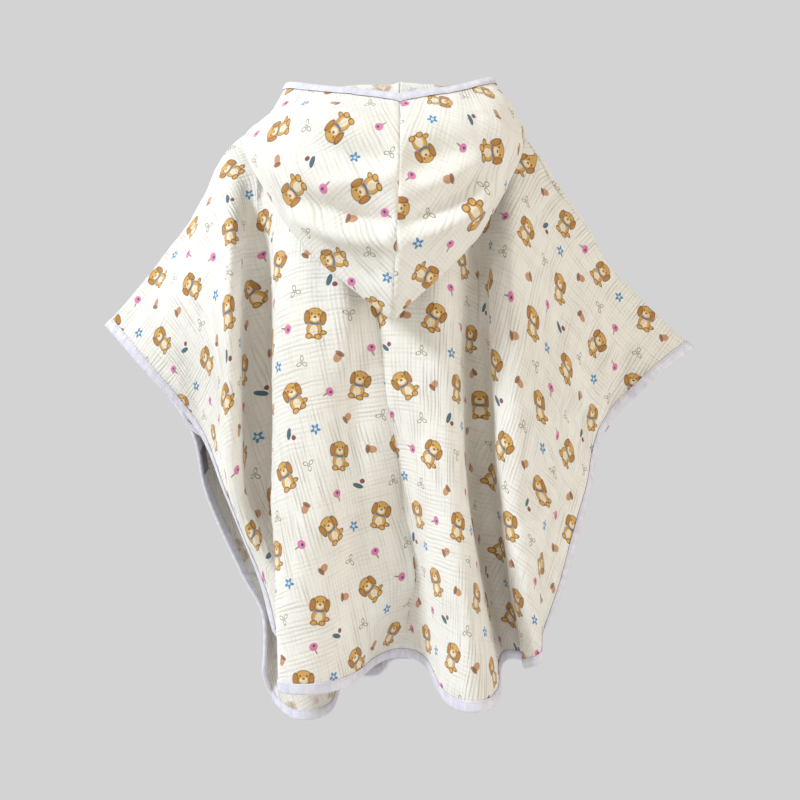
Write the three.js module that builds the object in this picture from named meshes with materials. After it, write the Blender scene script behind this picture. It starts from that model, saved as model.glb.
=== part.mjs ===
// A child's hooded bath poncho of crinkled cotton gauze, hanging as if worn, with the hood down on the back.
// Millimetres, +Z up. The wearer faces +Y, so +X is the wearer's right and the back panel is on the -Y side.
// The origin is the middle of the neck opening, level with the points where the shoulder seams start.
import * as THREE from "three";

// Cloth and trim. faceEase is the room inside the fold of the binding at the face edge, which turns sharply.
const clothThickness = 2;
const seamGap = 0.3;
const bindingWidth = 10;
const bindingThickness = 0.8;
const faceEase = 1;

// Neck opening, as half axes of its ring
const neckHalfWidth = 72;
const napeDepth = 58;
const throatDepth = 62;
const throatDrop = 48;
const napeRise = 0;

// The cut, measured along the top edge from the centre line
const shoulderSeamLength = 365;
const cuffCut = neckHalfWidth + shoulderSeamLength;
const cornerRadius = 70;

// Heights at which the folds are laid out
const level = { chest: -185, cuff: -292, underarm: -352, waist: -420, hip: -510, low: -560 };

// How far a fold's flanks lie on the way to the next fold
const flankShare = 0.3;

// The shoulder seam as it hangs, from the neck (share 0) to the cuff (share 1). frontRise is how far the front
// panel stands up beyond the seam before it falls.
const shoulderSeam = [
  { share: 0, leftX: -72, leftY: 0, leftZ: 0, rightX: 72, rightY: 0, rightZ: 0, frontRise: 0 },
  { share: 0.13, leftX: -120, leftY: 0, leftZ: -11, rightX: 117, rightY: -4, rightZ: -11, frontRise: 3 },
  { share: 0.27, leftX: -168, leftY: 0, leftZ: -24, rightX: 149, rightY: -12, rightZ: -50, frontRise: 11 },
  { share: 0.37, leftX: -194, leftY: 0, leftZ: -49, rightX: 167, rightY: -15, rightZ: -84, frontRise: 13 },
  { share: 0.5, leftX: -214, leftY: 0, leftZ: -90, rightX: 198, rightY: -14, rightZ: -122, frontRise: 10 },
  { share: 0.6, leftX: -232, leftY: 0, leftZ: -122, rightX: 218, rightY: -10, rightZ: -154, frontRise: 6 },
  { share: 0.7, leftX: -254, leftY: 0, leftZ: -151, rightX: 241, rightY: -6, rightZ: -183, frontRise: 3 },
  { share: 0.8, leftX: -276, leftY: 0, leftZ: -180, rightX: 267, rightY: -2, rightZ: -209, frontRise: 0 },
  { share: 0.9, leftX: -300, leftY: 0, leftZ: -208, rightX: 294, rightY: 0, rightZ: -234, frontRise: 0 },
  { share: 1, leftX: -324, leftY: 0, leftZ: -234, rightX: 322, rightY: 0, rightZ: -258, frontRise: 0 },
];

// Folds of a panel from the wearer's left to right. kind is 1 for a fold, crest or trough, whose flanks stand w
// to each side of it, and 0 for a plain line such as a free edge. cut is where it starts on the top edge and
// gather how far to each side its flanks start. x and y place it at each level.
const backFolds = [
  { name: "left edge", kind: 0, cut: -cuffCut, gather: 0,
    cuff: { x: -270, y: -17, w: 0 }, underarm: { x: -219, y: -6, w: 0 }, waist: { x: -188, y: -22, w: 0 },
    hip: { x: -151, y: -26, w: 0 }, low: { x: -138, y: -26, w: 0 }, hem: { x: -128, y: -22, w: 0, z: -596 } },
  { name: "left sleeve", kind: 0, cut: -300, gather: 0,
    chest: { x: -230, y: -50, w: 0 }, underarm: { x: -196, y: -52, w: 0 }, waist: { x: -179, y: -54, w: 0 },
    hip: { x: -142, y: -42, w: 0 }, hem: { x: -118, y: -34, w: 0, z: -602 } },
  { name: "left pleat", kind: 1, cut: -196, gather: 14,
    chest: { x: -176, y: -92, w: 12 }, underarm: { x: -174, y: -96, w: 12 }, waist: { x: -168, y: -84, w: 9 },
    hip: { x: -130, y: -56, w: 5 }, hem: { x: -107, y: -44, w: 4, z: -606 } },
  { name: "left inner pleat", kind: 1, cut: -156, gather: 12,
    chest: { x: -152, y: -34, w: 18 }, underarm: { x: -150, y: -36, w: 20 }, waist: { x: -146, y: -40, w: 18 },
    hip: { x: -116, y: -50, w: 8 }, hem: { x: -90, y: -54, w: 3, z: -608 } },
  { name: "left drape", kind: 1, cut: -112, gather: 18,
    chest: { x: -98, y: -104, w: 36 }, underarm: { x: -97, y: -115, w: 42 }, waist: { x: -95, y: -120, w: 44 },
    hip: { x: -94, y: -122, w: 45 }, hem: { x: -94, y: -120, w: 46, z: -614 } },
  { name: "centre trough", kind: 1, cut: -22, gather: 20,
    chest: { x: -26, y: -86, w: 16 }, underarm: { x: -6, y: -76, w: 15 }, waist: { x: 1, y: -62, w: 16 },
    hip: { x: 14, y: -42, w: 18 }, hem: { x: 2, y: -10, w: 31, z: -596 } },
  { name: "centre drape", kind: 1, cut: 44, gather: 18,
    chest: { x: 38, y: -106, w: 24 }, underarm: { x: 46, y: -122, w: 25 }, waist: { x: 52, y: -128, w: 25 },
    hip: { x: 63, y: -133, w: 27 }, hem: { x: 74, y: -138, w: 33, z: -628 } },
  { name: "right inner trough", kind: 1, cut: 96, gather: 12,
    chest: { x: 82, y: -50, w: 14 }, underarm: { x: 86, y: -44, w: 17 }, waist: { x: 91, y: -34, w: 18 },
    hip: { x: 104, y: -22, w: 19 }, hem: { x: 122, y: -2, w: 20, z: -600 } },
  { name: "right drape", kind: 1, cut: 140, gather: 14,
    chest: { x: 112, y: -100, w: 20 }, underarm: { x: 114, y: -104, w: 21 }, waist: { x: 118, y: -103, w: 20 },
    hip: { x: 127, y: -96, w: 17 }, hem: { x: 140, y: -76, w: 11, z: -600 } },
  { name: "right sleeve", kind: 0, cut: 310, gather: 0,
    chest: { x: 186, y: -66, w: 0 }, underarm: { x: 176, y: -66, w: 0 }, waist: { x: 164, y: -66, w: 0 },
    hip: { x: 156, y: -66, w: 0 }, hem: { x: 144, y: -60, w: 0, z: -596 } },
  { name: "right edge", kind: 0, cut: cuffCut, gather: 0,
    cuff: { x: 278, y: -17, w: 0 }, underarm: { x: 222, y: -6, w: 0 }, waist: { x: 203, y: -28, w: 0 },
    hip: { x: 176, y: -38, w: 0 }, low: { x: 154, y: -42, w: 0 }, hem: { x: 136, y: -46, w: 0, z: -592 } },
];

const frontFolds = [
  { name: "left edge", kind: 0, cut: -cuffCut, gather: 0,
    cuff: { x: -274, y: 17, w: 0 }, underarm: { x: -230, y: 6, w: 0 }, waist: { x: -217, y: 24, w: 0 },
    hip: { x: -178, y: 26, w: 0 }, low: { x: -152, y: 20, w: 0 }, hem: { x: -153, y: 4, w: 0, z: -648 } },
  { name: "left sleeve", kind: 0, cut: -310, gather: 0,
    chest: { x: -232, y: 48, w: 0 }, underarm: { x: -206, y: 56, w: 0 }, waist: { x: -190, y: 60, w: 0 },
    hip: { x: -158, y: 58, w: 0 }, hem: { x: -144, y: 26, w: 0, z: -664 } },
  { name: "left inner fold", kind: 1, cut: -150, gather: 20,
    chest: { x: -140, y: 54, w: 22 }, underarm: { x: -130, y: 38, w: 24 }, waist: { x: -126, y: 28, w: 24 },
    hip: { x: -112, y: 16, w: 26 }, hem: { x: -100, y: 0, w: 28, z: -668 } },
  { name: "left drape", kind: 1, cut: -100, gather: 18,
    chest: { x: -84, y: 108, w: 28 }, underarm: { x: -80, y: 118, w: 30 }, waist: { x: -74, y: 120, w: 30 },
    hip: { x: -64, y: 118, w: 28 }, hem: { x: -46, y: 98, w: 26, z: -640 } },
  { name: "centre trough", kind: 1, cut: 0, gather: 22,
    chest: { x: 0, y: 90, w: 20 }, underarm: { x: 0, y: 86, w: 24 }, waist: { x: 4, y: 80, w: 24 },
    hip: { x: 8, y: 72, w: 24 }, hem: { x: 12, y: 60, w: 24, z: -612 } },
  { name: "right drape", kind: 1, cut: 100, gather: 18,
    chest: { x: 82, y: 110, w: 28 }, underarm: { x: 78, y: 120, w: 30 }, waist: { x: 76, y: 124, w: 30 },
    hip: { x: 74, y: 126, w: 28 }, hem: { x: 72, y: 124, w: 26, z: -600 } },
  { name: "right inner fold", kind: 1, cut: 150, gather: 20,
    chest: { x: 138, y: 56, w: 20 }, underarm: { x: 136, y: 40, w: 20 }, waist: { x: 134, y: 32, w: 18 },
    hip: { x: 132, y: 24, w: 16 }, hem: { x: 132, y: 18, w: 14, z: -606 } },
  { name: "right sleeve", kind: 0, cut: 310, gather: 0,
    chest: { x: 214, y: 50, w: 0 }, underarm: { x: 196, y: 54, w: 0 }, waist: { x: 182, y: 52, w: 0 },
    hip: { x: 166, y: 46, w: 0 }, hem: { x: 152, y: 34, w: 0, z: -604 } },
  { name: "right edge", kind: 0, cut: cuffCut, gather: 0,
    cuff: { x: 276, y: 17, w: 0 }, underarm: { x: 220, y: 6, w: 0 }, waist: { x: 198, y: 16, w: 0 },
    hip: { x: 172, y: 12, w: 0 }, low: { x: 160, y: 10, w: 0 }, hem: { x: 157, y: 8, w: 0, z: -598 } },
];

// The hood thrown back: each row is a line round it, from the neck seam over the pouch to the face edge, and each
// column a place round the neck. Points are for the wearer's right half. On the left half a row reaches out
// leftReach times as far and hangs leftDrop lower over the shoulder. seamDrift is how far the centre seam has
// slipped sideways.
const hoodLines = [
  { name: "neck seam", leftReach: 1, leftDrop: 0, seamDrift: 0,
    nape: [0, -58, 0], quarter: [51, -41, 0], shoulder: [72, 0, 0], collar: [52, 45, -23], throat: [4, 62, -46] },
  { name: "roll", leftReach: 1.03, leftDrop: 7, seamDrift: 0,
    nape: [0, -66, 14], quarter: [60, -50, 14], shoulder: [86, -6, 13], collar: [58, 51, -12], throat: [5, 64, -43] },
  { name: "under layer", leftReach: 1.2, leftDrop: 6, seamDrift: -3,
    nape: [0, -112, -100], quarter: [78, -96, -62], shoulder: [108, -24, 4], collar: [66, 54, -3], throat: [6, 65, -40] },
  { name: "lowest line", leftReach: 1.26, leftDrop: 4, seamDrift: -7,
    nape: [0, -144, -240], quarter: [84, -122, -148], shoulder: [130, -44, -28], collar: [73, 53, 3], throat: [6, 66, -38] },
  { name: "pouch", leftReach: 1.26, leftDrop: 8, seamDrift: -3,
    nape: [0, -176, -156], quarter: [88, -152, -98], shoulder: [128, -74, -34], collar: [78, 48, 9], throat: [6, 66, -36] },
  { name: "crown", leftReach: 1.2, leftDrop: 14, seamDrift: 0,
    nape: [0, -170, -66], quarter: [72, -150, -40], shoulder: [114, -84, -10], collar: [79, 40, 14], throat: [6, 66, -33] },
  { name: "face edge", leftReach: 1.24, leftDrop: 5, seamDrift: 0,
    nape: [0, -130, -12], quarter: [55, -110, 0], shoulder: [96, -60, 20], collar: [74, 33, 18], throat: [6, 65, -30] },
];
const hoodPlaces = ["nape", "quarter", "shoulder", "collar", "throat"];
const hoodLift = 1.6;

// Bare labels sewn to the inside of the front panel's left edge. in and out are distances from that edge and
// high and low their ends as shares of the panel's height.
const sideLabel = { near: 1, far: 14, high: 0.4, low: 0.46, thickness: 1.2 };
const sizeLabel = { near: 15, far: 27, high: 0.405, low: 0.43, thickness: 0.6 };

// Bar tacks that join front and back under the arms
const tack = { width: 3, share: 0.4 };

const vec = (x, y, z) => new THREE.Vector3(x, y, z);
const mix = (a, b, f) => a + (b - a) * f;

// A smooth line through values at rising places, as a function of place.
function lineThrough(places, values) {
  const last = places.length - 1;
  const slopes = places.map((_, i) => {
    const low = Math.max(i - 1, 0);
    const high = Math.min(i + 1, last);
    return (values[high] - values[low]) / (places[high] - places[low]);
  });
  return (place) => {
    let i = 0;
    while (i < last - 1 && place > places[i + 1]) i++;
    const span = places[i + 1] - places[i];
    const f = Math.min(Math.max((place - places[i]) / span, 0), 1);
    const rise = f * f * (3 - 2 * f);
    return mix(values[i], values[i + 1], rise)
      + span * (slopes[i] * f * (1 - f) ** 2 - slopes[i + 1] * f * f * (1 - f));
  };
}

const seamShares = shoulderSeam.map((row) => row.share);
const seamLine = {};
for (const column of ["leftX", "leftY", "leftZ", "rightX", "rightY", "rightZ", "frontRise"])
  seamLine[column] = lineThrough(seamShares, shoulderSeam.map((row) => row[column]));

// A point of the top edge of the front (facing 1) or back (facing -1) panel, by its place in the cut.
function topPoint(cut, facing) {
  const side = cut < 0 ? "left" : "right";
  const beyond = Math.abs(cut) - neckHalfWidth;
  if (beyond > 0) {
    const share = beyond / shoulderSeamLength;
    return vec(seamLine[side + "X"](share), seamLine[side + "Y"](share), seamLine[side + "Z"](share));
  }
  const turn = (cut / neckHalfWidth) * (Math.PI / 2);
  const depth = facing > 0 ? throatDepth : -napeDepth;
  const rise = facing > 0 ? -throatDrop : napeRise;
  return vec(neckHalfWidth * Math.sin(turn), depth * Math.cos(turn), rise * Math.cos(turn) ** 1.5);
}

// The direction in which the wall's thickness stands at the top edge, the same for both panels along the seam.
function topNormal(cut, facing) {
  const step = cut > 0 ? 4 : -4;
  const outward = Math.abs(cut) < neckHalfWidth
    ? topPoint(cut, facing).setZ(0).normalize().multiplyScalar(0.6).add(vec(0, 0, 0.8))
    : vec(Math.sign(cut) * 0.6, 0, 0.8);
  const along = topPoint(cut + step, facing).sub(topPoint(cut - step, facing));
  const seamNormal = vec(-along.z, 0, along.x).multiplyScalar(Math.sign(cut) || 1).normalize();
  const past = THREE.MathUtils.smoothstep(Math.abs(cut), neckHalfWidth, neckHalfWidth + 30);
  return outward.lerp(seamNormal, past).normalize();
}

// The lines that run down a panel: one for a plain line and three for a fold, each with its cut and its course.
// The middle line of a fold is moved out so that the smooth surface still touches the fold's own place.
function panelLines(folds, facing) {
  const lines = [];
  folds.forEach((fold, index) => {
    const nextTo = (name, side) => {
      const spot = fold[name];
      const other = folds[index + side]?.[name] ?? spot;
      return mix(spot.y, other.y, flankShare);
    };
    for (const flank of fold.kind ? [-1, 0, 1] : [0]) {
      const cut = fold.cut + flank * fold.gather;
      const top = topPoint(cut, facing);
      const knots = [];
      for (const name of ["hem", ...Object.keys(level).reverse()]) {
        const spot = fold[name];
        const z = spot?.z ?? level[name];
        if (!spot || z > top.z - 25) continue;
        let y = flank ? nextTo(name, flank) : spot.y;
        if (fold.kind && !flank) y = (6 * spot.y - nextTo(name, -1) - nextTo(name, 1)) / 4;
        knots.push({ x: spot.x + flank * spot.w, y, z });
      }
      knots.push(top);
      const heights = knots.map((knot) => knot.z);
      const x = lineThrough(heights, knots.map((knot) => knot.x));
      const y = lineThrough(heights, knots.map((knot) => knot.y));
      lines.push({ cut, course: (down) => {
        const z = mix(top.z, fold.hem.z, down);
        return vec(x(z), y(z), z);
      } });
    }
  });
  return lines;
}

// The four weights of a uniform cubic B-spline.
function splineWeights(f) {
  return [(1 - f) ** 3 / 6, (3 * f ** 3 - 6 * f ** 2 + 4) / 6,
    (-3 * f ** 3 + 3 * f ** 2 + 3 * f + 1) / 6, f ** 3 / 6];
}

// Blends what the lines give at a place across the panel. The ends are held.
function acrossLines(lines, across, value, add) {
  const last = lines.length - 1;
  const place = Math.min(Math.floor(across), last - 1);
  const weights = splineWeights(across - place);
  let total = null;
  weights.forEach((weight, i) => {
    const index = place - 1 + i;
    if (index < 0) {
      total = add(total, value(lines[0]), 2 * weight);
      total = add(total, value(lines[1]), -weight);
    } else if (index > last) {
      total = add(total, value(lines[last]), 2 * weight);
      total = add(total, value(lines[last - 1]), -weight);
    } else total = add(total, value(lines[index]), weight);
  });
  return total;
}

const addNumber = (total, value, weight) => (total ?? 0) + value * weight;
const addVector = (total, value, weight) => (total ?? vec(0, 0, 0)).addScaledVector(value, weight);

// A panel as a function: across runs over its lines and down from the top edge (0) to the hem (1).
function panelSurface(folds, facing) {
  const lines = panelLines(folds, facing);
  const settle = 0.3;
  const cutAt = (across) => acrossLines(lines, across, (line) => line.cut, addNumber);
  const at = (across, down) => {
    const point = acrossLines(lines, across, (line) => line.course(down), addVector);
    if (facing > 0) point.add(frontSwell(cutAt(across), down));
    if (down < settle) {
      const cut = cutAt(across);
      const loose = acrossLines(lines, across, (line) => line.course(0), addVector);
      const held = topPoint(cut, facing).sub(loose);
      point.addScaledVector(held, (1 - down / settle) ** 2);
    }
    return point;
  };
  return { at, cutAt, spans: lines.length - 1 };
}

// The rise of the front panel just beyond the seam on the right shoulder.
function frontSwell(cut, down) {
  const share = (cut - neckHalfWidth) / shoulderSeamLength;
  if (share <= 0) return vec(0, 0, 0);
  const place = down / 0.04;
  return topNormal(cut, 1).multiplyScalar(seamLine.frontRise(share) * place * Math.exp(1 - place));
}

// Rows and columns of points and wall directions over a surface, with a row and columns one binding width inside
// the free edges, and the lower corners rounded.
function panelGrid(folds, facing, steps) {
  const surface = panelSurface(folds, facing);
  const { at, cutAt } = surface;
  const columns = edgeColumns(surface, steps);
  const hemLengths = runningLengths(columns.map((across) => at(across, 1)));
  const width = hemLengths.at(-1);
  const grid = columns.map((across, i) => {
    const fromEdge = Math.min(hemLengths[i], width - hemLengths[i]);
    const short = Math.max(1 - fromEdge / cornerRadius, 0);
    const length = at(across, 0).distanceTo(at(across, 0.5)) + at(across, 0.5).distanceTo(at(across, 1));
    const end = 1 - (cornerRadius * 0.5 * short ** 2) / length;
    const bound = end - bindingWidth / length;
    const downs = [];
    for (let j = 0; j < steps.rows; j++) downs.push(bound * (j / (steps.rows - 1)) ** 1.25);
    downs.push(end);
    const points = downs.map((down) => at(across, down));
    points[0].addScaledVector(vec(0, facing, 0), seamGap);
    return points;
  });
  const normals = gridNormals(grid, facing);
  return grid.map((points, i) => points.map((point, j) => ({
    point,
    normal: j ? normals[i][j] : topNormal(cutAt(columns[i]), facing),
  })));
}

// Places across a panel, with the second and the last but one a binding width inside its edges.
function edgeColumns({ at, cutAt, spans }, steps) {
  const middle = 0.6;
  const inset = (edge, step) => bindingWidth / at(edge, middle).distanceTo(at(edge + step, middle)) * Math.abs(step);
  const first = inset(0, 0.2);
  const last = spans - inset(spans, -0.2);
  const columns = [0, first];
  for (let span = 0; span < spans; span++) {
    const count = Math.max(steps.perSpan, Math.round((cutAt(span + 1) - cutAt(span)) / steps.widest));
    for (let k = 0; k < count; k++) {
      const across = span + k / count;
      if (across > first + 0.1 && across < last - 0.1) columns.push(across);
    }
  }
  return [...columns, last, spans];
}

function runningLengths(points) {
  const lengths = [0];
  for (let i = 1; i < points.length; i++) lengths.push(lengths[i - 1] + points[i].distanceTo(points[i - 1]));
  return lengths;
}

// The mean direction of the facets round each point of a panel's grid, pointing out of the garment.
function gridNormals(grid, facing) {
  const sums = grid.map((column) => column.map(() => vec(0, 0, 0)));
  for (let i = 0; i < grid.length - 1; i++)
    for (let j = 0; j < grid[0].length - 1; j++) {
      const ring = [[i, j], [i, j + 1], [i + 1, j + 1], [i + 1, j]];
      for (const corners of [[0, 1, 2], [0, 2, 3]]) {
        const [a, b, c] = corners.map((k) => grid[ring[k][0]][ring[k][1]]);
        const normal = b.clone().sub(a).cross(c.clone().sub(a)).multiplyScalar(-facing).normalize();
        for (const k of corners) sums[ring[k][0]][ring[k][1]].add(normal);
      }
    }
  return sums.map((column) => column.map((sum) => sum.normalize()));
}

// A closed solid between two grids of points that share their edges' outline.
function wallGeometry(outside, inside) {
  const wide = outside.length;
  const tall = outside[0].length;
  const positions = [];
  for (const sheet of [outside, inside])
    for (const column of sheet) for (const point of column) positions.push(point.x, point.y, point.z);
  const vertex = (layer, i, j) => layer * wide * tall + i * tall + j;
  const faces = [];
  const quad = (a, b, c, d) => faces.push(a, b, c, a, c, d);
  for (let i = 0; i < wide - 1; i++) {
    for (let j = 0; j < tall - 1; j++) {
      quad(vertex(0, i, j), vertex(0, i, j + 1), vertex(0, i + 1, j + 1), vertex(0, i + 1, j));
      quad(vertex(1, i, j), vertex(1, i + 1, j), vertex(1, i + 1, j + 1), vertex(1, i, j + 1));
    }
    quad(vertex(0, i, 0), vertex(0, i + 1, 0), vertex(1, i + 1, 0), vertex(1, i, 0));
    quad(vertex(0, i + 1, tall - 1), vertex(0, i, tall - 1), vertex(1, i, tall - 1), vertex(1, i + 1, tall - 1));
  }
  for (let j = 0; j < tall - 1; j++) {
    quad(vertex(0, 0, j + 1), vertex(0, 0, j), vertex(1, 0, j), vertex(1, 0, j + 1));
    quad(vertex(0, wide - 1, j), vertex(0, wide - 1, j + 1), vertex(1, wide - 1, j + 1), vertex(1, wide - 1, j));
  }
  return closedGeometry(positions, faces);
}

// A geometry from points and triangles, turned so that its faces point out.
function closedGeometry(positions, faces) {
  const point = (index) => vec(...positions.slice(index * 3, index * 3 + 3));
  let volume = 0;
  for (let k = 0; k < faces.length; k += 3)
    volume += point(faces[k]).dot(point(faces[k + 1]).cross(point(faces[k + 2])));
  if (volume < 0)
    for (let k = 0; k < faces.length; k += 3) [faces[k + 1], faces[k + 2]] = [faces[k + 2], faces[k + 1]];
  const geometry = new THREE.BufferGeometry();
  geometry.setAttribute("position", new THREE.Float32BufferAttribute(positions, 3));
  geometry.setIndex(faces);
  geometry.computeVertexNormals();
  return geometry;
}

function clothWall(grid) {
  const shifted = (reach) => grid.map((column) => column.map(({ point, normal }) =>
    point.clone().addScaledVector(normal, reach)));
  return wallGeometry(shifted(clothThickness / 2), shifted(-clothThickness / 2));
}

// A strip folded over the free edge of a grid, made from the grid's own cells along that edge. cells lists
// them, free tells whether a point is on the edge being bound and outward gives the way out over that edge.
function foldedStrip(grid, { cells, free, outward }, clearance = seamGap) {
  const near = clothThickness / 2 + clearance;
  const far = near + bindingThickness;
  const beyond = clearance + bindingThickness;
  const layers = [[far, beyond], [near, clearance], [-near, clearance], [-far, beyond]];
  const positions = [];
  const faces = [];
  const numbers = new Map();
  const number = (layer, [i, j]) => {
    const key = `${layer} ${i} ${j}`;
    if (!numbers.has(key)) {
      numbers.set(key, numbers.size);
      const [reach, past] = layers[layer];
      const spot = grid[i][j].point.clone().addScaledVector(grid[i][j].normal, reach);
      if (free(i, j)) spot.addScaledVector(outward(i, j), past);
      positions.push(spot.x, spot.y, spot.z);
    }
    return numbers.get(key);
  };
  const quad = (a, b, c, d) => faces.push(a, b, c, a, c, d);
  const used = new Map();
  for (const [i, j] of cells) {
    const ring = [[i, j], [i, j + 1], [i + 1, j + 1], [i + 1, j]];
    for (const layer of [0, 2]) quad(...ring.map((spot) => number(layer, spot)));
    for (const layer of [1, 3]) {
      const [a, b, c, d] = ring.map((spot) => number(layer, spot));
      faces.push(a, c, b, a, d, c);
    }
    ring.forEach((spot, k) => used.set(`${spot} ${ring[(k + 1) % 4]}`, [spot, ring[(k + 1) % 4]]));
  }
  const rim = (p, q, from, to) => quad(number(p, from), number(q, from), number(q, to), number(p, to));
  for (const [from, to] of used.values()) {
    if (used.has(`${to} ${from}`)) continue;
    if (free(...from) && free(...to)) {
      rim(0, 3, from, to);
      rim(2, 1, from, to);
      continue;
    }
    rim(0, 1, from, to);
    rim(2, 3, from, to);
    if (free(...to)) quad(number(0, to), number(1, to), number(2, to), number(3, to));
    if (free(...from)) quad(number(3, from), number(2, from), number(1, from), number(0, from));
  }
  return closedGeometry(positions, faces);
}

// A direction turned level with the wall at a grid point.
function levelWith({ normal }, direction) {
  return direction.addScaledVector(normal, -direction.dot(normal)).normalize();
}

// The cells of a panel along its side edges and hem.
function panelEdge(grid) {
  const right = grid.length - 1;
  const hem = grid[0].length - 1;
  const cells = [];
  for (let j = 0; j < hem; j++) cells.push([0, j], [right - 1, j]);
  for (let i = 1; i < right - 1; i++) cells.push([i, hem - 1]);
  const free = (i, j) => i === 0 || i === right || j === hem;
  const outward = (i, j) => {
    const inner = grid[Math.min(Math.max(i, 1), right - 1)][Math.min(j, hem - 1)];
    return levelWith(grid[i][j], grid[i][j].point.clone().sub(inner.point));
  };
  return { cells, free, outward };
}

// The cells of the hood along its face edge.
function faceEdge(grid) {
  const last = grid[0].length - 1;
  const cells = grid.slice(1).map((_, i) => [i, last - 1]);
  const free = (i, j) => j === last;
  const outward = (i, j) => levelWith(grid[i][j], grid[i][j].point.clone().sub(grid[i][j - 1].point));
  return { cells, free, outward };
}

// A part of a grid between fractional columns and rows, lying on the grid's own facets.
function patchOf(grid, columns, rows) {
  const blend = (i, j) => {
    const [i0, j0] = [Math.floor(i), Math.floor(j)];
    const [fi, fj] = [i - i0, j - j0];
    const corner = (di, dj) => grid[Math.min(i0 + di, grid.length - 1)][Math.min(j0 + dj, grid[0].length - 1)];
    const sum = (key) => vec(0, 0, 0)
      .addScaledVector(corner(0, 0)[key], (1 - fi) * (1 - fj)).addScaledVector(corner(1, 0)[key], fi * (1 - fj))
      .addScaledVector(corner(0, 1)[key], (1 - fi) * fj).addScaledVector(corner(1, 1)[key], fi * fj);
    return { point: sum("point"), normal: sum("normal").normalize() };
  };
  return columns.map((i) => rows.map((j) => blend(i, j)));
}

// A label lying on the inside of a panel near its left edge.
function labelOn(grid, label) {
  const row = (share) => {
    const lengths = runningLengths(grid[1].map((spot) => spot.point));
    return fractionAt(lengths, share * lengths.at(-1));
  };
  const rows = steppedRange(row(label.high), row(label.low));
  const across = runningLengths(grid.map((column) => column[Math.round(rows[0])].point));
  const columns = steppedRange(fractionAt(across, label.near), fractionAt(across, label.far));
  const reach = clothThickness / 2 + bindingThickness + 2 * seamGap;
  const patch = patchOf(grid, columns, rows);
  const moved = (by) => patch.map((column) => column.map(({ point, normal }) =>
    point.clone().addScaledVector(normal, -by)));
  return wallGeometry(moved(reach), moved(reach + label.thickness));
}

function fractionAt(lengths, length) {
  let i = 0;
  while (i < lengths.length - 2 && lengths[i + 1] < length) i++;
  return i + (length - lengths[i]) / (lengths[i + 1] - lengths[i]);
}

// From one fraction to another with every whole number between.
function steppedRange(from, to) {
  const steps = [from];
  for (let k = Math.floor(from) + 1; k < to; k++) steps.push(k);
  return [...steps, to];
}

// The line of the hood from the neck seam to the face edge at a place round the neck.
function hoodSection(place, mirror) {
  const points = hoodLines.map((row) => {
    const spots = hoodPlaces.map((name) => row[name]);
    const at = (axis) => lineThrough([0, 1, 2, 3, 4], spots.map((spot) => spot[axis]))(place);
    const overShoulder = 1 - THREE.MathUtils.smoothstep(Math.abs(place - 2), 0, 1.3);
    const behind = 1 - THREE.MathUtils.smoothstep(place, 1.8, 3.2);
    const reach = mirror < 0 ? mix(1, row.leftReach, behind) : 1;
    const drop = mirror < 0 ? row.leftDrop * overShoulder : 0;
    const drift = row.seamDrift * (1 - THREE.MathUtils.smoothstep(place, 0, 1.6));
    return vec(at(0) * reach * mirror + drift, at(1), at(2) - drop + hoodLift);
  });
  return new THREE.CatmullRomCurve3(points, false, "centripetal");
}

// A half of the hood as a grid, from the nape round to the throat.
function hoodGrid(mirror, steps) {
  const columns = [];
  for (let i = 0; i <= steps.around; i++) {
    const section = hoodSection((i / steps.around) * (hoodPlaces.length - 1), mirror);
    const bound = section.getUtoTmapping(1 - Math.min(bindingWidth / section.getLength(), 0.45));
    const column = [];
    for (let j = 0; j < steps.along; j++) column.push(section.getPoint((j / (steps.along - 1)) * bound));
    column.push(section.getPoint(1));
    columns.push(column);
  }
  return columns.map((column, i) => column.map((point, j) => {
    const before = columns[Math.max(i - 1, 0)][j];
    const after = columns[Math.min(i + 1, steps.around)][j];
    const up = column[Math.min(j + 1, steps.along)];
    const down = column[Math.max(j - 1, 0)];
    const normal = after.clone().sub(before).cross(up.clone().sub(down)).multiplyScalar(mirror);
    if (i === 0) normal.setX(0);
    const placed = point.clone();
    if (i === 0) placed.x += mirror * (seamGap / 2 + 0.05);
    return { point: placed, normal: normal.normalize() };
  }));
}

// A bar tack that bridges the bound edges of the two panels, level with the underarm.
function tackAt(side) {
  const padOn = (grid) => {
    const [edge, inner] = side < 0 ? [grid[0], grid[1]] : [grid.at(-1), grid.at(-2)];
    const j = edge.findIndex((spot) => spot.point.z < level.underarm) - 1;
    const corner = (over, f) => {
      const point = edge[j].point.clone().lerp(edge[j + 1].point, f);
      const outward = point.clone().sub(inner[j].point.clone().lerp(inner[j + 1].point, f)).normalize();
      const normal = edge[j].normal.clone().lerp(edge[j + 1].normal, f).normalize();
      return point.addScaledVector(outward, bindingThickness + 3 * seamGap).addScaledVector(normal, over);
    };
    const ends = [0.5 - tack.share / 2, 0.5 + tack.share / 2];
    return [tack.width / 2, -tack.width / 2].map((over) => ends.map((f) => corner(over, f)));
  };
  return wallGeometry(padOn(backGrid), padOn(frontGrid));
}

const backGrid = panelGrid(backFolds, -1, { perSpan: 2, widest: 22, rows: 18 });
const frontGrid = panelGrid(frontFolds, 1, { perSpan: 2, widest: 22, rows: 16 });
const hoodSteps = { around: 24, along: 17 };
const hoodRight = hoodGrid(1, hoodSteps);
const hoodLeft = hoodGrid(-1, hoodSteps).reverse();
const hoodWhole = [...hoodLeft, ...hoodRight];

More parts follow.
